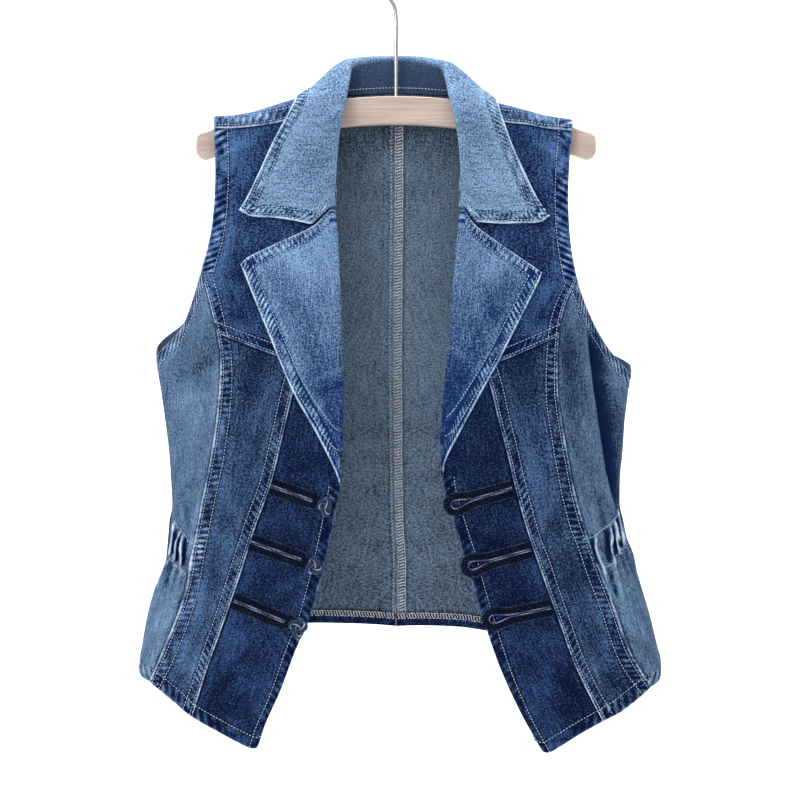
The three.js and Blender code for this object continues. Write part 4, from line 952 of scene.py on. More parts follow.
# Fronts, each in four panels, with the lapel over them
def sewFront(lines, suffix, seed):
    side = lines["side"]
    shoulder = smoothLine(lines["shoulder"])
    armhole = smoothLine(lines["armhole"])
    hem = smoothLine(lines["hem"])
    shares = np.arange(len(lines["rollLine"])) / (len(lines["rollLine"]) - 1)
    radii = cloth["foldRadius"] + (cloth["breakRadius"] - cloth["foldRadius"]) * shares
    rollEdge = np.array(lines["rollLine"], float)
    rollEdge[:, 0] += side * (radii + cloth["double"] / 2) * (1 - shares ** 6)
    roll = smoothLine(rollEdge)
    neckline = smoothLine(lines["neckline"][:-1] + [tuple(rollEdge[0])])

    def joined(key, start, end):
        return smoothLine([tuple(start)] + lines[key][1:-1] + [tuple(end)])

    split = fractionAt(armhole, 1, lines["armholeSplit"])
    hemSide = fractionAt(hem, 0, lines["sideSeam"][-1][0])
    hemFront = fractionAt(hem, 0, lines["frontSeam"][-1][0])
    sideSeam = joined("sideSeam", armhole(split), hem(hemSide))
    yokeSplit = fractionAt(sideSeam, 1, lines["yokeLevel"])
    rollSplit = fractionAt(roll, 1, lines["yoke"][-1][1])
    yoke = joined("yoke", sideSeam(yokeSplit), roll(rollSplit))
    yokeFront = fractionAt(yoke, 0, lines["frontSeam"][0][0])
    frontSeam = joined("frontSeam", yoke(yokeFront), hem(hemFront))
    frontEdge = joined("frontEdge", roll(1.0), hem(1.0))

    armholeLine = partLine(armhole, 0, split)
    upperSide = chainLines(armholeLine, partLine(sideSeam, 0, yokeSplit))
    armShare = armholeLine.total / upperSide.total
    upper = patch(front(shoulder), front(yoke), front(upperSide),
                  front(chainLines(neckline, partLine(roll, 0, rollSplit))))
    sewPanel("front_upper_" + suffix, upper, "denim_mid", denim["upper"],
             [("left", "arm", 0, armShare), ("left", "over", armShare, 1), ("bottom", "over"),
              ("top", "under")], ["hanger_wood_bar"], seed)

    carried = ["sewn_front_upper_" + suffix]
    sidePatch = patch(front(armhole, 1, split), front(hem, 0, hemSide), sideLine(lines, -1), front(sideSeam))
    sewPanel("front_side_" + suffix, sidePatch, "denim_washed", denim["side"],
             [("top", "arm"), ("bottom", "hem"), ("left", "under"), ("right", "under")], carried, seed + 1,
             spacing=(1.0, 2.2))

    middle = patch(front(yoke, 0, yokeFront), front(hem, hemSide, hemFront), front(sideSeam, yokeSplit, 1),
                   front(frontSeam))
    sewPanel("front_middle_" + suffix, middle, "denim_mid", denim["middle"],
             [("left", "over"), ("right", "over"), ("top", "under"), ("bottom", "hem")], carried, seed + 2)

    lowerRoll = partLine(roll, rollSplit, 1)
    centre = patch(front(yoke, yokeFront, 1), front(hem, hemFront, 1), front(frontSeam),
                   front(chainLines(lowerRoll, frontEdge)))
    rollShare = lowerRoll.total / (lowerRoll.total + frontEdge.total)
    sewPanel("front_centre_" + suffix, centre, "denim_dark", denim["centre"],
             [("left", "under"), ("right", "edge", rollShare, 1), ("top", "under"), ("bottom", "hem")],
             carried, seed + 3)
    sewLapel(lines, suffix, roll, seed + 4)


# Lapel: lies on the front, rolls over its edge and ends close behind it
lapelCreases = {
    "front": table(
        creaseColumns,
        (-70, -428, 62, 15, 3.2, 1.3), (-66, -441, 70, 14, 3.2, -1.2), (-72, -456, 58, 12, 3, 1),
        (-84, -360, 30, 26, 6, -0.9), (66, -408, -50, 18, 3.4, 1.1), (60, -430, -62, 15, 3.2, -1.1),
        (92, -352, -26, 26, 6, -0.9)),
}
lapelRoll = {"steps": 12, "spacing": 1.65}  # spacing is of the whole lapel's grid


def sewLapel(lines, suffix, roll, seed):
    side = lines["side"]
    topShare = fractionAt(roll, 1, lines["lapelTop"])
    gorge = smoothLine([tuple(roll(topShare))] + lines["gorge"][1:])
    edgeLine = smoothLine([lines["gorge"][-1]] + lines["lapelEdge"][1:-1] + [tuple(roll(1.0))])
    tip = placeOf(roll(1.0), -1)
    place = patch(front(gorge), lambda s: np.broadcast_to(tip, np.shape(s) + (2,)), front(roll, topShare, 1),
                  front(edgeLine))
    sizes = sizesOf(place)
    width, height = sizes
    half = cloth["double"] / 2

    def surface(s, t):
        base, normal = shellAt(place(s, t))
        x, z = base[..., 0], base[..., 2]
        lifted = doubleRest + cloth["lapelLift"] * (1 - t) * np.maximum(0, 1 - s * 1.6) ** 2
        sewn, wear = sewnEdges([("top", "fall"), ("right", "fall", 0, 0.97)], sizes, s, t, seed)
        sewn = sewn * smoothStep(0, 12, s * width(t))
        soft = 1.1 * bell(z + 345, 55) * np.sin((x * side - 0.55 * z) / 13) * smoothStep(0.1, 0.5, s)
        small = creaseLift(lapelCreases, False, x, z)
        lift = lifted + half + sewn + np.clip(soft, -0.6, 1.1) + small + restless(x, z, seed)
        # painted shade: the right lapel darker than the left; paler higher up and darker low down towards the
        # roll; soft folds and creases paler on rises and darker in hollows, painted light and shade
        tone = (lines["lapelShade"] + 0.13 * bell(z + 300, 45)
                - 0.35 * bell(z + 470, 70) * (1 - smoothStep(0.3, 1, s)))
        wear = wear + 0.1 * soft + 0.13 * small + tone
        return base + normal * lift[..., None], normal, wear, base, lifted

    levels = edgeSteps(float(height(0.2)), lapelRoll["spacing"]) * 0.985 + 0.004
    s, t = np.meshgrid(edgeSteps(float(width(0.25)), lapelRoll["spacing"])[::-1], levels)
    points, normals, wear, _, _ = surface(s, t)
    # half a turn round the front's edge; it narrows to nothing where the lapel runs out
    _, normal, _, base, lifted = surface(np.zeros_like(levels), levels)
    level = np.array([-side, 0.0, 0.0])
    inward = unit(level - normal * (normal @ level)[:, None])
    radius = (lifted + doubleRest) / 2
    centre = base + normal * (lifted - radius)[:, None]
    outer = (radius + half)[:, None]
    offset = points[:, -1] - (centre + normal * outer)
    narrow = (1 - 0.85 * smoothStep(0.8, 1, levels))[:, None]
    angles = np.linspace(0, math.pi, lapelRoll["steps"] + 1)[1:]
    turned = [normal * math.cos(angle) + inward * math.sin(angle) * narrow for angle in angles]
    fold = [centre + direction * outer + offset * (1 - angle / math.pi)
            for direction, angle in zip(turned, angles)]
    points = np.concatenate([points, np.stack(fold, 1)], 1)
    normals = np.concatenate([normals, np.stack(turned, 1)], 1)
    wear = np.concatenate([wear, np.repeat(wear[:, -1:], len(angles), 1)], 1)
    reach = np.concatenate([s * width(t), -radius[:, None] * angles[None]], 1)
    down = np.repeat((t * height(s))[:, -1:], points.shape[1], 1)
    piece, _, _ = clothPiece("lapel_" + suffix, points, normals, reach, down, wear, cloth["double"],
                             denim["lapel"], denim["upper"])
    finishSheet(piece, "denim_washed", "lapel_" + suffix, ["sewn_front_upper_" + suffix],
                (reach.max() - reach.min(), down.max()))
    share = np.linspace(0.02, 0.98, 160)
    for row in bands["fall"]["rows"]:
        for rowS, rowT in ((share * 0.97, row / height(share)), (1 - row / width(share), share * 0.9)):
            keep = ((rowS > 0.02) & (rowT < 0.97) & (rowT >= row / height(rowS) * 0.9)
                    & (rowS * width(rowT) < width(rowT) - row * 0.9))
            sewRow(*surface(rowS[keep], rowT[keep])[:2])


# rows of stitches that hold the waist elastic, on the side panels
elasticRows = [
    [(-221, -573.7), (-216.7, -581), (-211.8, -585.8), (-208.8, -593), (-203, -597)],
    [(-225.2, -610), (-221.6, -617.4), (-216.7, -621), (-209.4, -628.3)],
    [(185.7, -593), (199, -588.8), (206.3, -582.2), (213.6, -576.7), (222.1, -566.4)],
    [(208.7, -619.8), (216, -617.4), (218.5, -611.3), (225.8, -601.6)],
]
for points in elasticRows:
    base, normal = shellAt(placeOf(smoothLine(points)(np.linspace(0, 1, 40)), -1))
    stitchRows["pale"] += rowFrames(base + normal * (cloth["wall"] / 2 + 2), normal, pitch=3.0)


# Back: one half each side of the centre seam, from the front shoulder seam over the ridge down to the hem.
# turnLength is how many millimetres a turn of one radian counts in the edges' lengths
def lengthened(places):
    scale = [back["turnLength"], 1]
    line = smoothLine(np.asarray(places, float) * scale)

    def plain(fraction):
        return line(fraction) / scale

    plain.total = line.total
    return plain


hemMiddle = placeOf(back["hem"][4], 1)


def centreLine(fraction):
    start = np.array([0, back["neckDrop"]])
    return start + (hemMiddle - start) * np.asarray(fraction, float)[..., None]


def sewBack(lines, suffix, seed):
    side = lines["side"]
    shoulder = placeOf(lines["shoulder"], -1)[::-1]
    neckTop = lengthened([
        (0, back["neckDrop"]),
        (placeOf((side * 40, -170), 1)[0], back["neckDrop"]),
        (placeOf((side * 62, -170), 1)[0], back["neckDrop"] * 0.6),
        (shoulder[0][0], -back["neckDrop"] * 0.6),
        shoulder[0],
    ])
    top = chainLines(neckTop, lengthened(shoulder))
    armPlaces = placeOf(lines["backArmhole"], 1)
    armhole = lengthened([shoulder[-1], (armPlaces[0][0], 0), *armPlaces[1:]])
    outerEdge = chainLines(armhole, sideLine(lines, 1))
    hemPoints = [point for point in back["hem"][::side] if point[0] * side >= 0]
    place = patch(top, lengthened(placeOf(hemPoints, 1)), centreLine, outerEdge)
    neckShare = neckTop.total / top.total
    armShare = armhole.total / outerEdge.total
    sewPanel("back_" + suffix, place, "denim_mid", denim["back"],
             [("top", "over", neckShare, 1), ("right", "arm", 0, armShare), ("right", "under", armShare, 1),
              ("bottom", "hem"), ("left", "pressed" if side < 0 else "under")],
             ["hanger_wood_bar"], seed, spacing=(3.4, 3.4))
    height = sizesOf(place)[1]

    def turnedHem(s, t):
        return place(s, 1 - (1 - np.asarray(t)) * back["hemDepth"] / height(s))

    return sewPanel("back_hem_" + suffix, turnedHem, "denim_dark", denim["centre"], [],
                    ["sewn_back_" + suffix], seed + 1, spacing=(3, 3),
                    rest=-(cloth["wall"] + cloth["layerGap"]), inside=denim["centre"])


sewFront(leftLines, "left", 0.7)
sewFront(rightLines, "right", 7.3)
hemSurfaces = [sewBack(leftLines, "left", 13.1), sewBack(rightLines, "right", 17.9)]

# Serged allowance of the centre-back seam, pressed to the left on the inside
allowance = {"width": 14, "offset": 6, "start": 2, "gap": 0.8, "end": 13.4, "level": -450}
halfWidth = (girthAt("right", allowance["level"]) - girthAt("left", allowance["level"])) / 2
seamLength = centreLine(1.0)[1] - centreLine(0.0)[1]
seamTop, seamBottom = allowance["start"] / seamLength, 1 - allowance["end"] / seamLength


def allowancePlace(s, t):
    s, t = np.broadcast_arrays(np.asarray(s, float), np.asarray(t, float))
    turn = (s * allowance["width"] - allowance["offset"]) / halfWidth
    return np.stack([turn, centreLine(seamTop + t * (seamBottom - seamTop))[..., 1]], -1)


seamSurface = sewPanel("back_seam", allowancePlace, "denim_mid", denim["inside"], [], ["sewn_back_left"],
                       21.4, spacing=(2.5, 2.5), rest=-(cloth["wall"] + allowance["gap"]))

# Collar stations from the left gorge round the back of the neck and on to the right gorge: the neck seam,
# the roll and the fall's edge. Near the ends y comes from the front, and the stand rises by "stand" there
collarRows = {
    "neck": [(-64.6, 0, -260), (-66, 0, -233), (-67.3, 0, -206), (-67.2, 0, -183), (-66.6, 0, -164),
        (-66, -8.5, -153.5), (-63.6, -1, -147.2), (-57, 6.2, -147.4), (-46, 7.9, -147.8),
        (-25, 8.2, -146.6), (0, 8.2, -146), (25, 8.2, -146.6), (46, 7.9, -147.8), (57, 6.2, -147.4),
        (63.6, -1, -147.4), (66.2, -8.5, -154.5), (66.6, 0, -166), (67.4, 0, -185), (68.2, 0, -208),
        (68, 0, -233), (67.6, 0, -260)],
    "roll": [(-61, 0, -260), (-61, 0, -233), (-60, 0, -210), (-57.5, 0, -186), (-54, 0, -166),
        (-50, -13, -148), (-47.5, -4, -127), (-46, 5, -115), (-38, 11, -112), (-22, 14, -110),
        (0, 15, -109.5), (22, 14, -110), (38, 11, -113), (48, 5, -117), (51, -4, -130), (54.5, -13, -150),
        (59, 0, -166), (63, 0, -186), (65.3, 0, -210), (65, 0, -233), (64, 0, -260)],
    "edge": [(-157, 0, -263), (-146, 0, -245), (-136, 0, -223), (-123, 0, -194), (-110, 0, -170),
        (-102, -11, -155), (-98, -1, -149), (-96, 9, -153), (-80, 17, -168), (-44, 18, -174), (0, 18, -175),
        (44, 18, -174), (80, 17, -168), (96, 9, -155), (99, -1, -152), (103, -11, -160), (108, 0, -174),
        (115, 0, -194), (124, 0, -216), (136, 0, -244), (154, 0, -269)],
}
collar = {"stand": [3.5, 5, 7, 9, 10], "endReach": 3, "ends": [0.012, 0.03, 0.055], "stations": 341,
          "measuredColumn": 40, "standSewn": (100, -100)}
collarEnds = {
    "left": {"gorge": [(-61, -260), (-66, -260.6), (-72, -265.6), (-84.4, -277.2)],
             "edge": [(-84.4, -277.2), (-106, -273), (-126, -270.5), (-146, -269), (-157, -263)]},
    "right": {"gorge": [(64, -260), (69.4, -260.6), (73, -265), (80.2, -275)],
              "edge": [(80.2, -275), (104, -276.6), (125, -276), (144, -275), (154, -269)]},
}


# pushes points outside the body's plain shape, by out at least
def clearBody(points, out):
    x, y, z = points[..., 0], points[..., 1], points[..., 2]
    left, right = sidesAt(z)
    across = np.minimum(np.abs(x - (left + right) / 2) / ((right - left) / 2), 0.99)
    power = layout["power"]
    depth = depthAt(y < 0, z) * (1 - across ** power) ** (1 / power)
    centre = ridgeAt(x) - layout["ridgeRadius"]
    below = z < centre
    pushed = np.where(y < 0, -1, 1) * np.maximum(np.abs(y), depth + out)
    measure = np.clip(np.hypot(y / (depth + out), (z - centre) / (layout["ridgeRadius"] + out)), 0.05, 1)
    return np.stack([x, np.where(below, pushed, y / measure),
                     np.where(below, z, centre + (z - centre) / measure)], -1)


def makeCollar(seed):
    last = len(collarRows["neck"]) - 1
    corners = {key: np.array(rows, float) for key, rows in collarRows.items()}
    for k in range(last + 1):
        fromEnd = min(k, last - k)
        if fromEnd < len(collar["stand"]):
            for key, out in (("neck", 0), ("roll", collar["stand"][fromEnd]), ("edge", doubleRest)):
                x, _, z = corners[key][k]
                corners[key][k][1] = offShell(placeOf((x, z), -1), out)[1]
    ends = np.array(collar["ends"])
    stops = np.sort(np.concatenate([np.linspace(0, last, collar["stations"]), ends, last - ends]))
    neck, roll, edge = [np.stack([hermiteRead(np.arange(last + 1), column, stops) for column in rows.T], -1)
                        for rows in corners.values()]
    up, down = roll - neck, edge - roll
    upLength = np.linalg.norm(up, axis=-1, keepdims=True)
    downLength = np.linalg.norm(down, axis=-1, keepdims=True)
    over = unit(down / downLength + up / upLength)
    standPull = np.minimum(np.sqrt(6 * upLength * cloth["foldRadius"]), 1.5 * upLength)
    fallPull = np.minimum(np.sqrt(6 * downLength * cloth["foldRadius"]), downLength)

    def curve(start, startSlope, end, endSlope, part):
        part = part[None, :, None]
        square, cube = part ** 2, part ** 3
        return ((2 * cube - 3 * square + 1) * start[:, None]
                + (cube - 2 * square + part) * startSlope[:, None]
                + (3 * square - 2 * cube) * end[:, None] + (cube - square) * endSlope[:, None])

    standParts = np.linspace(0, 1, 17)[:-1]
    fallParts = np.concatenate([np.linspace(0, 0.3, 15)[:-1], np.linspace(0.3, 0.955, 27),
                                [0.972, 0.985, 0.994, 1.0]])
    rollColumn = len(standParts)
    stand = curve(neck, up, roll, over * standPull, standParts)
    fall = curve(roll, over * fallPull, edge, down, fallParts)
    # the fall's two ends follow the gorge seam and the notch
    away = np.minimum(stops, last - stops)
    share = np.maximum(0, 1 - away / collar["endReach"]) ** 2
    for key, half in (("left", stops < last / 2), ("right", stops >= last / 2)):
        end = chainLines(smoothLine(collarEnds[key]["gorge"]), smoothLine(collarEnds[key]["edge"]))(fallParts)
        move = np.where(half, share, 0)[:, None]
        fall[..., 0] += (end[None, :, 0] - fall[..., 0]) * move
        fall[..., 2] += (end[None, :, 1] - fall[..., 2]) * move
    blend = smoothStep(0.08, 0.25, fallParts)[None, :, None]
    fall = fall + (clearBody(fall, doubleRest + 0.5) - fall) * blend
    middle = np.concatenate([stand, fall], 1)
    normals = unit(np.cross(np.gradient(middle, axis=0), np.gradient(middle, axis=1)))
    if normals[len(stops) // 2, rollColumn + 2, 2] < 0:
        normals = -normals
    downPath = runLength(middle, 1)
    endPath = runLength(middle)
    edgePath = endPath[:, collar["measuredColumn"]]
    fromEdge = downPath[:, -1:] - downPath
    fromEnd = np.minimum(endPath, endPath[-1:] - endPath)
    fromRoll = downPath - downPath[:, rollColumn:rollColumn + 1]
    isFall = smoothStep(0, 14, fromRoll)
    liftEdge, edgeWearAndShade = bandLift("fall", fromEdge, edgePath[:, None], seed)
    liftEnd, endWearAndShade = bandLift("fall", fromEnd, downPath, seed + 1)
    x, z = middle[..., 0], middle[..., 2]
    soft = 0.8 * np.sin(x / 17 + z / 29 + seed) * np.sin(z / 23 + 2.0) * isFall * smoothStep(0, 20, fromEdge)
    # the fall's stitch rows carry painted shade; soft folds paler on their rises and darker in their hollows,
    # painted light and shade; the roll worn pale
    wear = stronger(edgeWearAndShade, endWearAndShade * isFall) + 0.1 * soft + 0.1 * bell(fromRoll, 4)
    lift = cloth["double"] / 2 + stronger(liftEdge, liftEnd * isFall) + soft + 0.6 * restless(x, z, seed)
    points = middle + normals * lift[..., None]
    across = np.repeat(edgePath[:, None], middle.shape[1], 1)
    piece, i, j = clothPiece("collar", points, normals, across, downPath, wear, cloth["double"],
                             denim["washed"], denim["washed"])
    # painted shade on the inside of the stand, seen below the roll; the wall's inner points come last
    shade = smoothStep(-2, -9, fromRoll)[i, j]
    giveNumbers(piece.data, "shade", np.pad(shade, (0, len(piece.data.vertices) - len(shade))))
    finishSheet(piece, "denim_washed", "collar",
                ["sewn_back_left", "sewn_back_right", "sewn_front_upper_left", "sewn_front_upper_right"],
                (edgePath[-1], downPath.max()))
    rows, columns = np.arange(len(stops)), np.arange(middle.shape[1])
    for distance in bands["fall"]["rows"]:
        column = np.argmin(np.abs(fromEdge - distance), axis=1)
        keep = fromEnd[rows, column] > distance * 0.9
        sewRow(points[rows, column][keep], normals[rows, column][keep])
        for measure in (endPath, endPath[-1:] - endPath):
            row = np.argmin(np.abs(measure - distance), axis=0)
            keep = (isFall[row, columns] > 0.2) & (fromEdge[row, columns] > distance * 0.9)
            sewRow(points[row, columns][keep], normals[row, columns][keep])
    behind = slice(*collar["standSewn"])
    sewRow(points[behind, 2], normals[behind, 2])


makeCollar(25.9)


def closeShape():
    bpy.ops.object.mode_set(mode="EDIT")
    bpy.ops.mesh.select_all(action="SELECT")
    bpy.ops.mesh.remove_doubles(threshold=1e-6)
    bpy.ops.mesh.normals_make_consistent(inside=False)
    bpy.ops.object.mode_set(mode="OBJECT")


# Tubes: rings of points round a route, closed by shrinking the end rings
def tubePiece(name, rings, material, wear=None):
    tips = [ring.mean(1, keepdims=True).repeat(rings.shape[1], 1) for ring in (rings[:1], rings[-1:])]
    rings = np.concatenate([tips[0], rings, tips[1]])
    rings = np.concatenate([rings, rings[:, :1]], 1)
    piece, i, j = gridPiece(name, *rings.shape[:2])
    mesh = piece.data
    mesh.vertices.foreach_set("co", (rings[i, j] * mm).ravel())
    giveUv(mesh, runLength(rings[len(rings) // 2])[j], runLength(rings.mean(1))[i])
    if wear is not None:
        wear = np.concatenate([wear[:1], wear, wear[-1:]])
        giveNumbers(mesh, "wear", np.concatenate([wear, wear[:, :1]], 1)[i, j])
    mesh.update()
    closeShape()
    bpy.ops.object.shade_smooth_by_angle(angle=math.radians(cloth["smoothAngle"]))
    mesh.materials.append(material)
    return piece


# angles all the way round
def turns(count):
    return np.linspace(0, 2 * math.pi, count + 1)[:-1]


# Rouleau tapes: from the front seam to a knot on the left, or to an open loop on the right
tapes = named(
    "from to eye",
    ("knot_tape_1", (-125, -539), (-76.1, -556.5), 0),
    ("knot_tape_2", (-145.5, -595), (-87.6, -615.6), 0),
    ("knot_tape_3", (-162, -654), (-104.4, -678), 0),
    ("loop_tape_1", (116, -541.5), (47.5, -561), 3.2),
    ("loop_tape_2", (134.5, -603), (64.5, -622), 3.2),
    ("loop_tape_3", (154.5, -661), (85.5, -675), 3.2),
)
tape = {"width": 8.8, "thick": 2.6, "apart": 0.5, "opening": 20, "corner": 0.62}


def makeTape(name, row, seed):
    start, tip = np.array(row["from"], float), np.array(row["to"], float)
    ahead = (tip - start) / np.linalg.norm(tip - start)
    beside = np.array([-ahead[1], ahead[0]])
    spacing = (tape["width"] + tape["apart"]) / 2
    reach = spacing + row["eye"]
    straight = np.linalg.norm(tip - start) - spacing - row["eye"] - tape["width"] / 2
    along = np.linspace(0, straight, 36)
    aside = spacing + row["eye"] * smoothStep(straight - tape["opening"], straight, along)
    turn = np.linspace(0, math.pi, 26)[1:-1]
    alongAll = np.concatenate([along, straight + reach * np.sin(turn), along[::-1]])
    asideAll = np.concatenate([aside, reach * np.cos(turn), -aside[::-1]])
    places = placeOf(start + ahead * alongAll[:, None] + beside * asideAll[:, None], -1)
    base, normal = shellAt(places)
    sewnDown = 0.25 * np.sin(alongAll / 6.1 + seed) + 0.2
    out = cloth["wall"] / 2 + cloth["layerGap"] + tape["thick"] / 2 + 0.5 + np.clip(sewnDown, -0.1, 0.4)
    centre = base + normal * out[..., None]
    sideways = unit(np.cross(normal, unit(np.gradient(centre, axis=0))))
    angle = turns(28)
    across = np.sign(np.cos(angle)) * np.abs(np.cos(angle)) ** tape["corner"]
    high = np.sign(np.sin(angle)) * np.abs(np.sin(angle)) ** tape["corner"]
    # piped rims with a flatter middle that its seam draws in
    fromMiddle = np.abs(across)
    high = high * (1 - 0.26 * bell(fromMiddle - 0.36, 0.2) + 0.12 * bell(fromMiddle - 0.78, 0.14))
    length = runLength(centre)[:, None]
    pucker = 1 + 0.1 * np.sin(2 * math.pi * length / 3.4 + seed) * bell(fromMiddle - 0.8, 0.25)
    rings = (centre[:, None] + sideways[:, None] * (across * tape["width"] / 2)[None, :, None]
             + normal[:, None] * (high[None] * pucker * tape["thick"] / 2)[..., None])
    # the inner rims are worn pale, the outer ones a little
    wornRim = 0.64 * bell(across + 0.84, 0.12) + 0.2 * bell(across - 0.9, 0.16)
    wear = (wornRim[None] * (0.85 + 0.3 * np.sin(length / 4.1 + seed))
            + 0.07 * np.sin(2 * math.pi * (length + 4 * across[None]) / 5.3 + seed))
    piece = tubePiece("sewn_" + name, truePoint(rings) / mm, denim["dark"], wear)
    finishSheet(piece, "denim_dark", name,
                ["sewn_front_centre_left" if "knot" in name else "sewn_front_centre_right"],
                (tape["width"] + tape["thick"], length[-1, 0]))


for k, (name, row) in enumerate(tapes.items()):
    makeTape(name, row, 31 + 1.7 * k)
print("tapes made")

# Knot buttons: a cord tied in a ball at the tip of each left tape
knots = named(
    "place width height turn",
    ("knot_1", (-71, -559.5), 16, 22, 0.3),
    ("knot_2", (-82, -620), 19, 20, 1.1),
    ("knot_3", (-98, -681.5), 21, 21, 2.0),
)
knotCord = {"depth": 13, "radius": 3.3, "sides": 24, "rings": 120, "sideLength": 1.2, "ringLength": 0.9}


def makeKnot(name, row):
    out = cloth["wall"] / 2 + cloth["layerGap"] + knotCord["depth"] / 2
    centre = offShell(placeOf(row["place"], -1), out)
    t = turns(knotCord["rings"])
    sine, cosine = math.sin(row["turn"]), math.cos(row["turn"])
    x = np.sin(t) + 2 * np.sin(2 * t)
    z = np.cos(t) - 2 * np.cos(2 * t)
    x, z = x * cosine - z * sine, x * sine + z * cosine
    half = np.array([row["width"], knotCord["depth"], row["height"]]) / 2 - knotCord["radius"]
    route = np.stack([x / 2.9, -np.sin(3 * t), z / 2.9], -1) * half
    tangent = unit(np.roll(route, -1, 0) - np.roll(route, 1, 0))
    away = route / np.maximum(np.linalg.norm(route, axis=-1, keepdims=True), 1e-6) + np.array([0, -0.8, 0])
    across = unit(np.cross(tangent, away))
    up = np.cross(across, tangent)
    angle = turns(knotCord["sides"])
    radius = knotCord["radius"] * (1 + 0.05 * np.sin(14 * t))[:, None] * (1 - 0.1 * np.cos(angle) ** 2)[None]
    rings = (route[:, None] + across[:, None] * (radius * np.cos(angle)[None])[..., None]
             + up[:, None] * (radius * np.sin(angle)[None])[..., None]) + centre
    clearSelection()
    bpy.ops.mesh.primitive_torus_add(major_segments=knotCord["rings"], minor_segments=knotCord["sides"],
                                     major_radius=1, minor_radius=0.25)
    piece = bpy.context.object
    piece.name = "tied_" + name
    piece.data.name = piece.name
    mesh = piece.data
    mesh.vertices.foreach_set("co", truePoint(rings).ravel())
    ring, side = np.divmod(np.arange(len(mesh.vertices)), knotCord["sides"])
    giveUv(mesh, side * knotCord["sideLength"], ring * knotCord["ringLength"])
    # worn rims on both sides of the cord and a paler top
    rims = bell(np.abs(np.cos(angle)) - 0.82, 0.13) * (np.sin(angle) > -0.2)
    flatTop = bell(np.cos(angle), 0.45) * (np.sin(angle) > 0)
    worn = rims[None] * (0.72 + 0.24 * np.sin(5 * t)[:, None]) + 0.26 * flatTop[None]
    giveNumbers(mesh, "wear", worn.ravel())
    mesh.update()
    closeShape()
    bpy.ops.object.shade_smooth()
    mesh.materials.append(denim["dark"])
    fasten(piece, "denim_dark", name)


for name, row in knots.items():
    makeKnot(name, row)
print("knots made")

# Hanger: an arched flat bar with rounded ends
bar = {"half": 203, "thick": 11, "height": 28.5, "top": -144.55, "arch": 0.00097, "corner": 10, "bevel": 2}


def makeBar():
    ends = bar["corner"] * (1 - np.cos(np.linspace(0, math.pi / 2, 14)))
    inner = np.linspace(bar["corner"], 2 * bar["half"] - bar["corner"], 72)[1:-1]
    fromLeft = np.concatenate([ends, inner, 2 * bar["half"] - ends[::-1]])
    x = fromLeft - bar["half"]
    gap = np.minimum(fromLeft, 2 * bar["half"] - fromLeft)

    def rounded(size, radius):
        return size / 2 - radius + np.sqrt(radius ** 2 - (radius - np.minimum(gap, radius)) ** 2)

    halfHeight, halfThick = rounded(bar["height"], bar["corner"]), rounded(bar["thick"], bar["bevel"])
    corners = []
    for k, (signY, signZ) in enumerate(((1, 1), (-1, 1), (-1, -1), (1, -1))):
        turn = np.linspace(0, math.pi / 2, 7) + k * math.pi / 2
        corners += [(signY, signZ, math.cos(angle), math.sin(angle)) for angle in turn]
    signY, signZ, cosine, sine = np.array(corners, float).T
    radius = np.minimum(bar["bevel"], np.minimum(halfHeight, halfThick))[:, None]
    y = signY * (halfThick[:, None] - radius) + radius * cosine
    z = signZ * (halfHeight[:, None] - radius) + radius * sine
    # the arch is level over the rounded ends
    straight = np.where(gap < bar["corner"], bar["half"] - bar["corner"], x)
    centreZ = bar["top"] - bar["arch"] * straight ** 2 - bar["height"] / 2
    rings = np.stack([np.repeat(x[:, None], y.shape[1], 1), y, z + centreZ[:, None]], -1)
    fasten(tubePiece("hanger_wood_bar", rings, wood), "hanger_wood", "hanger_bar")


makeBar()

# Hook: a wire bent round the hanging point, then down to the bar
hook = {"wire": 4.2, "inner": 20, "mouth": -30, "back": 230, "seat": 0.3, "offset": -3, "bend": 8,
        "under": 22, "sides": 24}


def makeHook():
    radius = hook["inner"] + hook["wire"] / 2
    level = -hook["inner"]
    angles = np.radians(np.arange(hook["mouth"], hook["back"] + 1, 10))
    route = [(radius * math.cos(angle), level + radius * math.sin(angle)) for angle in angles]
    route += [(hook["offset"], level - radius - hook["bend"]), (0, level - radius - hook["under"]),
              (0, (level - radius + bar["top"]) / 2), (0, bar["top"] + hook["seat"])]
    line = smoothLine(route, 12)
    share = np.concatenate([[0, 0.0012, 0.003, 0.006], np.linspace(0.01, 1, 150)])
    x, z = line(share).T
    centre = np.stack([x, np.zeros(len(x)), z], -1)
    backwards = np.array([0.0, 1.0, 0.0])
    sideways = np.cross(unit(np.gradient(centre, axis=0)), backwards)
    half = hook["wire"] / 2
    # the wire's free end is rounded
    beforeEnd = np.maximum(half - share * line.total, 0)
    wire = np.minimum(half, np.sqrt(np.maximum(half ** 2 - beforeEnd ** 2, 0.04)))
    angle = turns(hook["sides"])
    rings = centre[:, None] + (sideways[:, None] * np.cos(angle)[None, :, None]
                               + backwards * np.sin(angle)[None, :, None]) * wire[:, None, None]
    fasten(tubePiece("hanger_wire_hook", rings, metal), "hook_metal", "hanger_hook")


makeHook()
print("hanger made")

# Serging: slanted stitches over the raw edges of the seam allowance and of the turned hems
seamSerging = table(
    "share lean length pitch thick",
    (0.66, 1.25, 7.6, 3.1, 1.25),
    (0.9, 0.0, 3.4, 3.1, 0.9),
    (0.4, 0.3, 2.6, 3.1, 0.8),
    (0.1, 0.75, 3.2, 3.4, 0.8),
)
hemSerging = table(
    "share lean length pitch thick",
    (0.24, 1.15, 5.4, 2.9, 1.2),
    (0.06, 0.25, 3.0, 3.1, 1.0),
    (0.44, -0.3, 2.6, 3.3, 0.9),
)


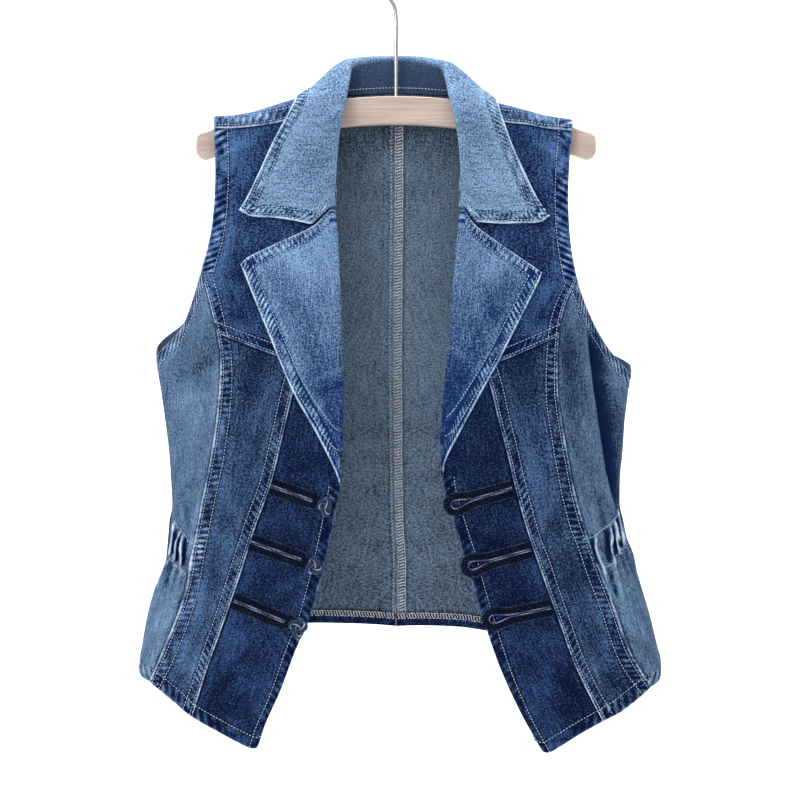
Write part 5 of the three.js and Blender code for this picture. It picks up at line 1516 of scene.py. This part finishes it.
# share is the row's place across the piece, and the stitches wander a little as a machine's do
def serge(surface, row, alongT):
    fraction = np.linspace(0.003, 0.997, 260)
    still = np.full_like(fraction, row["share"])
    s, t = (still, fraction) if alongT else (fraction, still)
    route, normals, _ = surface(s, t)
    frames = rowFrames(route - normals * (cloth["wall"] + 0.3), -normals, **row)
    stitchRows["serge"] += [(centre + along * 0.0004 * math.sin(2.3 * k), along, out,
                             length * (1 + 0.16 * math.sin(1.7 * k)), thick)
                            for k, (centre, along, out, length, thick) in enumerate(frames)]


for row in seamSerging:
    serge(seamSurface, row, True)
for hemSurface in hemSurfaces:
    for row in hemSerging:
        serge(hemSurface, row, False)
stitchPiece("topstitching", stitchRows["pale"], paleThread, "denim_washed")
stitchPiece("serging", stitchRows["serge"], sergeThread, "denim_washed")
print(len(stitchRows["pale"]), "topstitches,", len(stitchRows["serge"]), "serging stitches")

# Stage: a pale floor and wall, and soft light
paper, paperShader, paperField = newMaterial("pale_paper", {"Roughness": 0.95})
cloudy = paperField.node("ShaderNodeTexCoord", output=3).noise(0.8, 2).spread(0.3, 0.7)
cloudy.colours(srgb(250, 250, 250), srgb(245, 245, 246)).feed(paperShader, "Base Color")
for name, place, turn in (("floor", (0, 2, -1.55), 0), ("backdrop", (0, 3.2, 0), math.pi / 2)):
    clearSelection()
    bpy.ops.mesh.primitive_plane_add(size=14, location=place, rotation=(turn, 0, 0))
    bpy.context.object.name = name
    bpy.context.object.data.materials.append(paper)

lights = named(
    "place size power aim",
    ("key", (-2.1, -2.3, 1.0), 1.2, 43, (0, 0, -0.45)),
    ("fill", (2.2, -2.4, 0.2), 2.2, 7, (0, 0, -0.45)),
    ("top", (0.3, -0.6, 1.9), 1.6, 14, (0, 0, -0.3)),
    ("wall", (0, 1.0, 2.2), 3.0, 230, (0, 3.2, -0.6)),
)
for name, row in lights.items():
    clearSelection()
    turned = (Vector(row["aim"]) - Vector(row["place"])).to_track_quat("-Z", "Y").to_euler()
    bpy.ops.object.light_add(type="AREA", location=row["place"], rotation=turned)
    lamp = bpy.context.object
    lamp.name = name + "_light"
    lamp.data.size = row["size"]
    lamp.data.energy = row["power"]
world = bpy.context.scene.world or bpy.data.worlds.new("soft")
bpy.context.scene.world = world
world.use_nodes = True
world.node_tree.nodes["Background"].inputs["Color"].default_value = (0.96, 0.98, 1.0, 1)
world.node_tree.nodes["Background"].inputs["Strength"].default_value = 0.4
bpy.context.scene.view_settings.view_transform = "Standard"
print("stage set")
